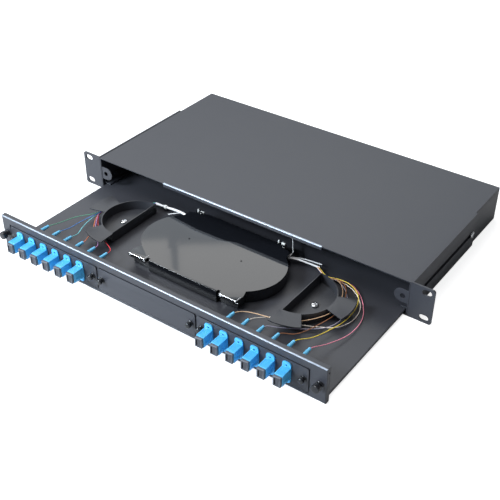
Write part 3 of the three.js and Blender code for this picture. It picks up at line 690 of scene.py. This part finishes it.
# %% Give the long folds their radius and their painted highlight
# A lighter, part-metallic coat for the fold faces: a painted highlight along each fold.
fold_highlight_coat = finish("painted_fold_highlight", "7C828C", "9298A2", (0.28, 0.38), 1400, 0.1, metallic=0.45, cloud=30)


def refolded(name, piece_name, body, is_fold, radius, splits=()):
    bm = bmesh.new()
    bm.from_mesh(frame["nodes"][name].data)
    bmesh.ops.remove_doubles(bm, verts=bm.verts, dist=WELD)
    bmesh.ops.dissolve_limit(bm, angle_limit=math.radians(0.5), verts=bm.verts, edges=bm.edges)
    for x in splits:
        everything = bm.verts[:] + bm.edges[:] + bm.faces[:]
        bmesh.ops.bisect_plane(bm, geom=everything, dist=1e-7, plane_co=(x, 0, 0), plane_no=(1, 0, 0))
    folds = [e for e in bm.edges if is_fold(*(v.co for v in e.verts))]
    bent = round_off(bm, folds, radius, 5)
    # Fold faces that do not face sideways get the painted fold highlight.
    for face in bent["faces"]:
        if abs(face.normal.x) < 0.1:
            face.material_index = 1
    bmesh.ops.triangulate(bm, faces=bm.faces, ngon_method="EAR_CLIP")
    mesh = bpy.data.meshes.new(piece_name)
    bm.to_mesh(mesh)
    bm.free()
    mesh.materials.append(powder)
    mesh.materials.append(fold_highlight_coat)
    made = piece(piece_name, smoothed(mesh), body, powder, [name])
    soften(made, 0.3 * MM, whole_faces=False)
    print(f"{piece_name}: {len(folds)} fold edges, radius {radius / MM:.1f} mm")


PANEL_LOW, PANEL_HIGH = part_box("front_panel")
COVER_LOW, COVER_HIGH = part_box("top_cover")
TOUCHING = 1e-5


def panel_fold(a, b):
    on_face = abs(a.y - PANEL_LOW.y) < TOUCHING and abs(b.y - PANEL_LOW.y) < TOUCHING
    top = min(a.z, b.z) > PANEL_HIGH.z - TOUCHING
    end = min(abs(a.x), abs(b.x)) > PANEL_HIGH.x - TOUCHING
    return on_face and (top or end)


def cover_fold(a, b):
    on_front = max(abs(a.y - COVER_LOW.y), abs(b.y - COVER_LOW.y)) < TOUCHING
    on_top = min(a.z, b.z) > COVER_HIGH.z - TOUCHING
    return on_front and on_top and abs((a.x + b.x) / 2) < 100 * MM


refolded("front_panel", "panel", "drawer", panel_fold, 1.5 * MM)
refolded("top_cover", "lid_sheet", "chassis", cover_fold, 1.6 * MM, splits=mm(-111.9, 107.9))

# %% [markdown]
# ## Module plates
# Three plates fill the window in the panel, two punched for adapters and one blank. A punched
# plate has rounded corners and a slightly rolled edge, and sits in the window with a dark gap all
# round. The outline is raised to a slab, and the ports and latch holes are cut out of it.

# %% Punch the plates
PLATE_HALF_W, PLATE_LOW, PLATE_TOP, PLATE_CORNER = mm(65.1, 4.9, 33.6, 2.5)
PLATE_HALF_H = (PLATE_TOP - PLATE_LOW) / 2
PLATE_Z = (PLATE_TOP + PLATE_LOW) / 2
LATCH_X, LATCH_Z, LATCH_HOLE = mm(59.5, 20, 2.3)
PORT_HALF_W, PORT_HALF_H = mm(4.9, 6.6)


def plate(bm):
    outline = rounded_outline(PLATE_HALF_W, PLATE_HALF_H, PLATE_CORNER, 6)
    slab(bm, outline, -0.7 * MM, 0.25 * MM, 0.3 * MM, 3)
    stand_up(bm)


def openings(ports):
    def shape(bm):
        for side in (-1, 1):
            hole = [(0, -2 * MM), (LATCH_HOLE, -2 * MM), (LATCH_HOLE, 2 * MM), (0, 2 * MM)]
            turned(bm, hole, (side * LATCH_X, 0, LATCH_Z - PLATE_Z), sides=24)
        for port in ports:
            z = ADAPTER_Z - PLATE_Z
            low = (port - PORT_HALF_W, -2 * MM, z - PORT_HALF_H)
            block(bm, low, (port + PORT_HALF_W, 2 * MM, z + PORT_HALF_H))
    return shape


for name in ("adapter_plate_left", "blank_plate", "adapter_plate_right"):
    low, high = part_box(name)
    middle = (low.x + high.x) / 2
    ports = [x - middle for x in ADAPTER_X if low.x < x < high.x]
    mesh = combined(name + "_sheet", plate, [(openings(ports), CUT)])
    piece(name + "_sheet", mesh, "drawer", powder, [name], at=(middle, PANEL_Y, PLATE_Z))
    print(name, len(ports), "ports")

# %% [markdown]
# ## Adapters
# An SC adapter is moulded in sky-blue plastic: a square tube with a flange, screwed or snapped to
# the module plate, and fine grip ribs on the top and bottom faces. The tube, flange and ribs are
# one moulding, so they are cut from one body: ribs are what is left between shallow grooves.

# %% Mould the adapters
# The lighter edge colour is partly a painted highlight.
adapter_plastic = finish("adapter_blue", "3C9FDC", "58B8E8", (0.2, 0.3), 2200, 0.10, rubbed_and_sheen=0.15,
                         rubbed_and_sheen_colour="A8DCF2")
BODY_HALF_W, BODY_HALF_H = mm(4.65, 6.35)
FLANGE_HALF_W, FLANGE_HALF_H, FLANGE_CORNER = mm(4.7, 12.3, 2.4)


def adapter_body(bm):
    block(bm, (-BODY_HALF_W, -14.8 * MM, -BODY_HALF_H), (BODY_HALF_W, -1.0 * MM, BODY_HALF_H), 0.4 * MM)


def adapter_flange(bm):
    outline = rounded_outline(FLANGE_HALF_W, FLANGE_HALF_H, FLANGE_CORNER, 8)
    slab(bm, outline, 0.3 * MM, 1.8 * MM, 0.25 * MM)
    stand_up(bm)


def adapter_tail(bm):
    block(bm, mm(-4.5, -1.2, -6.15), mm(4.5, 11.5, 6.15), 0.3 * MM)


def adapter_hollow(bm):
    block(bm, mm(-3.75, -16, -4.6), mm(3.75, 13, 4.6))
    for up in (-1, 1):
        hole = in_mm([(0, -6), (1.05, -6), (1.05, 0.5), (0, 0.5)])
        turned(bm, hole, (0, 0, up * 8.6 * MM), sides=20)


def adapter_grooves(bm):
    for up in (-1, 1):
        for k in range(6):
            y = (-13.4 + 1.75 * k) * MM
            z = up * BODY_HALF_H
            block(bm, (-3.5 * MM, y, z - 0.35 * MM), (3.5 * MM, y + 0.8 * MM, z + 0.35 * MM))
    for side in (-1, 1):
        x = side * BODY_HALF_W
        block(bm, (x - 0.3 * MM, -12.2 * MM, -2.6 * MM), (x + 0.3 * MM, -4.0 * MM, 2.6 * MM))


adapter_mesh = combined("adapter", adapter_body, [
    (adapter_flange, JOIN), (adapter_tail, JOIN),
    (adapter_hollow, CUT), (adapter_grooves, CUT)])
for i, x in enumerate(ADAPTER_X):
    piece(f"adapter_{i + 1}", adapter_mesh, "drawer", adapter_plastic,
          [f"sc_adapter_{i + 1}"], at=(x, PANEL_Y, ADAPTER_Z))
print("adapter mesh:", len(adapter_mesh.polygons), "faces, used 12 times")

# %% [markdown]
# ## Dust caps
# Each free port is closed by a black moulded cap with a hollow plug. The face has one upright slot
# to get a finger nail or tool behind. A soft matt finish with a fine eroded grain suits it.

# %% Mould the dust caps
# The lighter edge colour is partly a painted highlight.
cap_plastic = finish("cap_black", "2C2E33", "3E4047", (0.38, 0.5), 1900, 0.22, rubbed_and_sheen=0.5,
                     rubbed_and_sheen_colour="8E949C")


def cap_head(bm):
    block(bm, mm(-4.3, -17.9, -5.9), mm(4.3, -15.1, 5.9), 0.45 * MM, 3)


def cap_plug(bm):
    block(bm, mm(-3.4, -15.4, -4.2), mm(3.4, -6, 4.2), 0.3 * MM)


def cap_slot(bm):
    block(bm, mm(-2.6, -18.5, -3.8), mm(-1.1, -16.6, 3.8))


cap_mesh = combined("cap", cap_head, [(cap_plug, JOIN), (cap_slot, CUT)])
for i, x in enumerate(ADAPTER_X):
    piece(f"cap_{i + 1}", cap_mesh, f"dust_cap_{i + 1}", cap_plastic,
          [f"dust_cap_{i + 1}"], at=(x, PANEL_Y, ADAPTER_Z))
print("cap mesh:", len(cap_mesh.polygons), "faces, used 12 times")

# %% [markdown]
# ## Snap latches and lock plungers
# Nylon push rivets hold the module plates, and a larger plunger at each end locks the drawer to the
# case. Both are round parts from a mould, so a turned profile gives them, and the plunger's knob
# gets the shallow flutes that a finger needs.

# %% Turn the latches and plungers
# The lighter edge colour is partly a painted highlight.
nylon = finish("black_nylon", "131315", "1E1F22", (0.12, 0.22), 1500, 0.08, rubbed_and_sheen=0.3,
               rubbed_and_sheen_colour="6F7278")
latch_profile = [(0, -6.4), (2.1, -6.4), (2.75, -6.2), (3.15, -5.8), (3.2, -5.2), (3.2, -3.6), (3.0, -3.3),
                 (2.2, -3.1), (2.1, -2.8), (2.1, -1.7), (3.3, -1.55), (3.5, -1.35), (3.5, -0.3), (1.8, -0.3),
                 (1.8, 3.2), (2.0, 3.6), (1.9, 4.2), (1.2, 5.6), (0, 5.6)]
plunger_profile = [(0, -9.6), (3.4, -9.6), (4.1, -9.4), (4.55, -8.9), (4.6, -8.3), (4.6, -4.9), (4.4, -4.4),
                   (2.8, -4.0), (2.6, -3.7), (2.6, -1.8), (3.7, -1.65), (3.9, -1.45), (3.9, -0.3),
                   (2.2, -0.3), (2.2, 7.4), (2.0, 7.9), (1.3, 9.6), (0, 9.6)]
FLUTES, FLUTE_DEPTH = 16, 0.045


def latch_shape(bm):
    turned(bm, in_mm(latch_profile), (0, 0, 0), sides=36)


def plunger_shape(bm):
    turned(bm, in_mm(plunger_profile), (0, 0, 0), sides=48)
    for v in bm.verts:
        radius = math.hypot(v.co.x, v.co.z)
        if v.co.y < -4.8 * MM and radius > 4.3 * MM:
            turn = math.atan2(v.co.z, v.co.x)
            shrink = 1 - FLUTE_DEPTH * (0.5 + 0.5 * math.cos(FLUTES * turn))
            v.co.x, v.co.z = v.co.x * shrink, v.co.z * shrink


latch_mesh = mesh_of("latch", latch_shape)
plunger_mesh = mesh_of("plunger", plunger_shape)
for i in range(1, 7):
    middle = middle_of(f"plate_latch_{i}")
    piece(f"latch_{i}", latch_mesh, f"plate_latch_{i}", nylon, [f"plate_latch_{i}"],
          at=(middle.x, PANEL_Y, middle.z))
for side, sign in SIDES:
    middle = middle_of(f"lock_plunger_{side}")
    piece(f"plunger_{side}", plunger_mesh, f"lock_plunger_{side}", nylon,
          [f"lock_plunger_{side}"], at=(middle.x, PANEL_Y, middle.z))
print("six latches and two plungers turned")

# %% [markdown]
# ## Screws
# The guides and the ears are held by nickel-plated pan-head screws with a cross recess. The domed
# head is turned and the cross is cut into it, because the recess is what the light picks out.

# %% Make the screws
# The lighter edge colour is partly a painted highlight.
nickel = finish("nickel", "B9BABC", "D6D7D9", (0.14, 0.3), 2600, 0.05, metallic=1.0, rubbed_and_sheen=0.2,
                rubbed_and_sheen_colour="F2F2F2")


def screw_mesh(name, head, rise, shank, length):
    """Head radius and rise, shank radius and length in mm; the seat is at height 0 and the head looks up."""
    dome = [(0, rise)] + [(head * math.sin(math.radians(a)), rise * (0.35 + 0.65 * math.cos(math.radians(a))))
                          for a in range(12, 91, 13)]
    profile = dome + [(head, 0.15), (head * 0.97, 0), (shank, 0), (shank, -length + 0.5),
                      (shank * 0.7, -length), (0, -length)]
    arm, half = head * 0.55 * MM, head * 0.11 * MM

    def body(bm):
        turned(bm, in_mm(profile), (0, 0, 0), axis="z", sides=40)

    def recess(x, y):
        return lambda bm: block(bm, (-x, -y, rise * 0.45 * MM), (x, y, (rise + 1) * MM))

    return combined(name, body, [(recess(arm, half), CUT), (recess(half, arm), CUT)])


guide_screw_mesh = screw_mesh("guide_screw", 4.3, 2.3, 1.9, 4.0)
ear_screw_mesh = screw_mesh("ear_screw", 4.2, 2.4, 2.0, 3.4)
ear_screw_mesh.materials.append(nickel)
GUIDE_FLOOR, EAR_FACE, SCREW_TURN = 7.2, 216.65, 0.4
for side, sign in SIDES:
    middle = middle_of(f"guide_screw_{side}")
    piece(f"guide_screw_head_{side}", guide_screw_mesh, "drawer", nickel, [f"guide_screw_{side}"],
          at=(middle.x, middle.y, GUIDE_FLOOR * MM))
    middle = middle_of(f"ear_screw_{side}")
    screw = placed(f"ear_screw_head_{side}", ear_screw_mesh)
    seat = Matrix.Translation((sign * EAR_FACE * MM, middle.y, middle.z))
    outwards = Matrix.Rotation(sign * math.radians(90), 4, "Y")
    screw.matrix_world = seat @ outwards @ Matrix.Rotation(SCREW_TURN, 4, "Z")
    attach(screw, "chassis")
    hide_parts(f"ear_screw_{side}")
print("four pan-head screws")

# %% [markdown]
# ## Cable entry rings
# A rubber ring lines each cable hole in the rear wall. It is turned, with lips rolled round.

# %% Turn the rubber rings
rubber = finish("rubber", "141415", "1E1E20", (0.6, 0.75), 1200, 0.2, dust=0.25)


def ring_shape(bm):
    outer = [(6.5, -4.2), (7.0, -4.7), (12.3, -4.7), (13.0, -4.2), (13.0, -3.2), (12.4, -2.7), (9.7, -2.7),
             (9.7, -0.9), (12.4, -0.9), (13.0, -0.4), (13.0, 0.6), (12.3, 1.1), (7.0, 1.1), (6.5, 0.6),
             (6.5, -4.2)]
    turned(bm, in_mm(outer), (0, 0, 0), sides=48)


LIP_OUT = 1.1
for side, sign in SIDES:
    low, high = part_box(f"cable_grommet_{side}")
    piece(f"cable_ring_{side}", mesh_of(f"ring_{side}", ring_shape), "chassis", rubber,
          [f"cable_grommet_{side}"], at=((low.x + high.x) / 2, high.y - LIP_OUT * MM, (low.z + high.z) / 2))
    print(f"ring {side}: packed depth {(high.y - low.y) / MM:.1f} mm")

# %% [markdown]
# ## Fibre guides
# A half-moon cup keeps the fibres' bend wide. It is moulded with a thin wall, a floor with a screw
# boss, and two flat tabs on the rim that keep the fibres from springing up. The cup is a D outline
# hollowed out, and the tabs are ring sectors joined to its rim.

# %% Mould the guides
guide_plastic = finish("guide_black", "2C2D31", "35363B", (0.34, 0.46), 1700, 0.12, dust=0.05, cloud=12)


def arc(radius, first, last, steps):
    return [(radius * math.cos(math.radians(first + (last - first) * k / steps)),
             radius * math.sin(math.radians(first + (last - first) * k / steps))) for k in range(steps + 1)]


def scaled(outline, sign):
    points = [(sign * x * MM, y * MM) for x, y in outline]
    return points if sign > 0 else points[::-1]


CUP_OUTER, CUP_INNER, CUP_WALL, CUP_TOP = 38.5, 37.3, 1.2, 12.8
TAB_INNER, TAB_OUTER, TAB_LOW = 37.9, 59, 11.6
SCREW_X, SCREW_HOLE = 17, 2.3


def guide_mesh(sign):
    def cup(bm):
        slab(bm, scaled(arc(CUP_OUTER, -90, 90, 56), sign), 0, CUP_TOP * MM, 0.25 * MM)

    def hollow(bm):
        edge = math.degrees(math.acos(CUP_WALL / CUP_INNER))
        slab(bm, scaled(arc(CUP_INNER, -edge, edge, 56), sign), CUP_WALL * MM, 14 * MM)

    def screw_hole(bm):
        hole = in_mm([(0, -1), (SCREW_HOLE, -1), (SCREW_HOLE, 3), (0, 3)])
        turned(bm, hole, (sign * SCREW_X * MM, 0, 0), axis="z", sides=24)

    def tab(first, last):
        outline = arc(TAB_OUTER, first, last, 20) + arc(TAB_INNER, last, first, 20)
        return lambda bm: slab(bm, scaled(outline, sign), TAB_LOW * MM, CUP_TOP * MM, 0.25 * MM)

    return combined(f"guide_{sign}", cup, [
        (tab(-92, -57), JOIN), (tab(-15, 22), JOIN), (hollow, CUT), (screw_hole, CUT)])


for side, sign in SIDES:
    low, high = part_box(f"fibre_guide_{side}")
    made = piece(f"guide_{side}", guide_mesh(sign), "drawer", guide_plastic,
                 [f"fibre_guide_{side}"], at=(sign * GUIDE_X * MM, STORE_Y, low.z))
    print(f"guide {side}: {len(made.data.polygons)} faces")

# %% [markdown]
# ## Splice tray
# The tray is a shallow moulded basin with bulging ends, glossy black. Its lid is a flat plate that
# turns on two pins at the front and snaps on two studs at the rear. The outline is drawn once and
# used for both, so that lid and basin always match. The lid's gloss is its main feature.

# %% Outline of the tray
def tray_outline(inset, lugs):
    """From the middle of the front edge, past the lug and round the bulging end; then its mirror image."""
    depth, shoulder, radius = 55 - inset, 71 - inset, 46.5 - inset
    swing = math.degrees(math.asin(math.sqrt(radius ** 2 - (shoulder - 43) ** 2) / radius))
    lug_y = 57 if lugs else 51 - inset
    half = [(46 - inset, -depth), (46 - inset, -51 + inset), (50, -51 + inset)]
    if lugs:
        half.append((50, -lug_y))
    half.append((74 if lugs else shoulder, -lug_y))
    if lugs:
        half.append((74, -45))
    half += [(43 + x, y) for x, y in arc(radius, -swing, swing, 36)]
    half += [(shoulder, 47 - inset), (48, depth)]
    return half + [(-x, y) for x, y in half[::-1]]


gloss = finish("tray_gloss", "111317", "17191E", (0.04, 0.08), 900, 0.002, coat=0.3, cloud=20)
LOW, RIM, LID_LOW, LID_TOP = 6, 18.5, 18.8, 20.4
HINGE_X, HINGE_Y, HINGE_Z = 62, -54.8, 16.6
STUD_X, STUD_Y, POST_X, POST_Y = 58, 52.5, 36, 3


def round_bar(axis, radius, low, high, at, sides=24):
    """A solid round bar in mm along one axis; at holds its centre in x, y, z."""
    profile = [(0, low), (radius, low), (radius, high), (0, high)]

    def shape(bm):
        turned(bm, [(r * MM, a * MM) for r, a in profile], Vector(at) * MM, axis=axis, sides=sides)
    return shape


def cuboid(low, high, rounding=0.0):
    def shape(bm):
        block(bm, Vector(low) * MM, Vector(high) * MM, rounding * MM)
    return shape


print("tray outline has", len(tray_outline(0, False)), "corners, the lid's", len(tray_outline(0, True)))


# %% Mould the basin
def basin(bm):
    slab(bm, scaled(tray_outline(0, False), 1), LOW * MM, RIM * MM, 0.25 * MM)


def basin_hollow(bm):
    slab(bm, scaled(tray_outline(1.8, False), 1), (LOW + 1.8) * MM, (RIM + 1) * MM)


joined, inlets = [], []
for sign in (-1, 1):
    for ear in (50.5, 70.5):
        xs = sorted((sign * ear, sign * (ear + 3)))
        joined.append((round_bar("x", 1.8, xs[0], xs[1], (0, HINGE_Y, HINGE_Z)), JOIN))
        joined.append((cuboid((xs[0], HINGE_Y, HINGE_Z - 1.8), (xs[1], -50.2, HINGE_Z + 0.4)), JOIN))
    pin = sorted((sign * 51, sign * 73))
    joined.append((round_bar("x", 1, pin[0], pin[1], (0, HINGE_Y, HINGE_Z)), JOIN))
    joined.append((round_bar("z", 2.2, LOW + 1, RIM, (sign * POST_X, POST_Y, 0)), JOIN))
    joined.append((round_bar("z", 2.4, LOW, RIM, (sign * STUD_X, STUD_Y, 0)), JOIN))
    joined.append((round_bar("z", 1.3, RIM - 1, LID_TOP + 0.6, (sign * STUD_X, STUD_Y, 0)), JOIN))
    slot_x = sorted((sign * 62, sign * 75))
    inlets.append((cuboid((slot_x[0], 42, LOW + 3), (slot_x[1], 52, RIM + 1)), CUT))
basin_mesh = combined("basin", basin, [(basin_hollow, CUT), *joined, *inlets])
piece("splice_basin", basin_mesh, "drawer", gloss, ["splice_tray_base"], at=(0, STORE_Y, 0))
print("basin:", len(basin_mesh.polygons), "faces")


# %% Mould the lid
def lid_plate(bm):
    slab(bm, scaled(tray_outline(0, True), 1), LID_LOW * MM, LID_TOP * MM, 0.3 * MM, 3)


lid_steps = []
for sign in (-1, 1):
    knuckle = sorted((sign * 54.5, sign * 69.5))
    lid_steps.append((round_bar("x", 1.9, knuckle[0], knuckle[1], (0, HINGE_Y, HINGE_Z)), JOIN))
    web = cuboid((knuckle[0], HINGE_Y - 1.9, HINGE_Z), (knuckle[1], HINGE_Y + 1.4, LID_LOW + 0.1))
    lid_steps.append((web, JOIN))
    bore = sorted((sign * 54, sign * 70))
    lid_steps.append((round_bar("x", 1.3, bore[0], bore[1], (0, HINGE_Y, HINGE_Z)), CUT))
    lid_steps.append((round_bar("z", 1.1, LID_LOW - 1, LID_TOP + 1, (sign * POST_X, POST_Y, 0)), CUT))
    lid_steps.append((round_bar("z", 1.8, LID_LOW - 1, LID_TOP + 1, (sign * STUD_X, STUD_Y, 0)), CUT))
lid_mesh = combined("lid", lid_plate, lid_steps)
piece("splice_lid_plate", lid_mesh, "splice_lid", gloss, ["splice_tray_lid"],
      at=(0, STORE_Y, 0))
print("lid:", len(lid_mesh.polygons), "faces")

# %% [markdown]
# Small bright parts sit round the lid. Each rear stud ends in a white nylon tip, each front hinge
# turns on a short nickel pin, and a nylon tie holds the left sleeve together. All are round, so a
# turned profile makes each of them.

# %% Tips, pins and the tie
natural = finish("natural_nylon", "E6E6E2", "F4F4F0", (0.25, 0.4), 1500, 0.05)


def stud_tip(bm):
    turns = [math.radians(a) for a in range(15, 91, 15)]
    dome = [(1.4 * math.sin(a), 20.2 + 0.8 * math.cos(a)) for a in turns]
    turned(bm, in_mm([(0, 21.0), *dome, (1.4, 18.4), (0, 18.4)]), (0, 0, 0), axis="z", sides=24)


def pin_rod(bm):
    rod = [(0, -12.3), (0.8, -12.3), (1.05, -12.0), (1.05, 12.0), (0.8, 12.3), (0, 12.3)]
    turned(bm, in_mm(rod), (0, 0, 0), axis="x", sides=20)


def sleeve_tie(bm):
    band = [(1.55, -1.6), (2.1, -1.6), (2.5, -1.1), (2.5, 1.1), (2.1, 1.6), (1.55, 1.6), (1.55, -1.6)]
    turned(bm, in_mm(band), (0, 0, 0), axis="x", sides=28)


TIE_AT = (-110, 159.2, 10.3)
piece("sleeve_tie", mesh_of("sleeve_tie", sleeve_tie), "drawer", natural,
      at=(TIE_AT[0] * MM, PANEL_Y + TIE_AT[1] * MM, TIE_AT[2] * MM))
tip_mesh, pin_mesh = mesh_of("stud_tip", stud_tip), mesh_of("pin_rod", pin_rod)
for side, sign in SIDES:
    piece(f"stud_tip_{side}", tip_mesh, "drawer", natural,
          at=(sign * STUD_X * MM, STORE_Y + STUD_Y * MM, 0))
    piece(f"hinge_pin_{side}", pin_mesh, "drawer", nickel,
          at=(sign * HINGE_X * MM, STORE_Y + HINGE_Y * MM, HINGE_Z * MM))
print("two tips, two pins and a tie")

# %% [markdown]
# A nickel wire clip lies along each front lug of the lid and swings with it. Behind the lid stand
# two little brackets with nubs of natural white nylon. Rods and rounded blocks are enough for parts
# this small.


# %% Clips and latch brackets
def wire_clip(bm):
    along = in_mm([(0, -10.9), (0.6, -10.7), (0.6, 10.7), (0, 10.9)])
    back_leg = in_mm([(0, -56.6), (0.55, -56.4), (0.55, -48.2), (0, -48)])
    turned(bm, along, mm(0, -56.4, 20.3), axis="x", sides=16)
    turned(bm, back_leg, mm(10.6, 0, 20.3), axis="y", sides=16)


def bracket(bm):
    block(bm, mm(-6, -2.5, 12), mm(6, 2.2, 18.4), 0.3 * MM)


def nubs(bm):
    peg = in_mm([(0, 18.3), (1.1, 18.3), (1.1, 21.4), (0.7, 22), (0, 22.1)])
    turned(bm, peg, mm(-3.4, 0.9, 0), axis="z", sides=20)
    block(bm, mm(0.6, -0.2, 18.3), mm(5.2, 1.7, 20.9), 0.4 * MM)


clip_mesh = mesh_of("wire_clip", wire_clip)
bracket_mesh = mesh_of("bracket", bracket)
nub_mesh = mesh_of("nubs", nubs)
for side, sign, x, y in (("left", -1, -60.6, 54.1), ("right", 1, 51.2, 57.3)):
    behind = (x * MM, STORE_Y + y * MM, 0)
    piece(f"lid_clip_{side}", clip_mesh, "splice_lid", nickel, at=(sign * HINGE_X * MM, STORE_Y, 0))
    piece(f"latch_bracket_{side}", bracket_mesh, "drawer", gloss, at=behind)
    piece(f"latch_nubs_{side}", nub_mesh, "drawer", natural, at=behind)
print("two clips and two latch brackets")

# %% [markdown]
# ## Connectors and boots
# Behind each adapter a blue SC plug carries a tapered, ribbed boot that keeps the fibre from
# bending sharply where it leaves. The plug body is a rounded block with a sliding shell.

# %% Make the plugs
# The lighter edge colour is partly a painted highlight.
boot_blue = finish("boot_blue", "4FB0DE", "74C8EC", (0.35, 0.5), 1800, 0.08, rubbed_and_sheen=0.2,
                   rubbed_and_sheen_colour="BFE6F6")
RIBS, RIB_PITCH, BOOT_START = 7, 2.0, 25.2


def plug_shell(bm):
    block(bm, mm(-3.4, 1.5, -4.2), mm(3.4, 20, 4.2), 0.5 * MM)
    block(bm, mm(-3.0, 19, -3.7), mm(3.0, 25.5, 3.7), 0.5 * MM)


def boot(bm):
    profile = [(0, BOOT_START)]
    for k in range(RIBS):
        y, r = BOOT_START + RIB_PITCH * k, 2.4 - 0.1 * k
        profile += [(r, y), (r - 0.05, y + 1.1), (r - 0.3, y + 1.25), (r - 0.3, y + 1.8)]
    profile += [(1.7, 39.2), (1.7, 39.7), (1.45, BOOT_END), (0, BOOT_END)]
    turned(bm, in_mm(profile), (0, 0, -1 * MM), sides=28)


plug_mesh = mesh_of("plug", lambda bm: (plug_shell(bm), boot(bm)))
for i, x in enumerate(ADAPTER_X):
    side = "left" if i < 6 else "right"
    piece(f"plug_{i + 1}", plug_mesh, "drawer", boot_blue, [f"pigtails_{side}"],
                       at=(x, PANEL_Y, ADAPTER_Z))
print("twelve plugs")
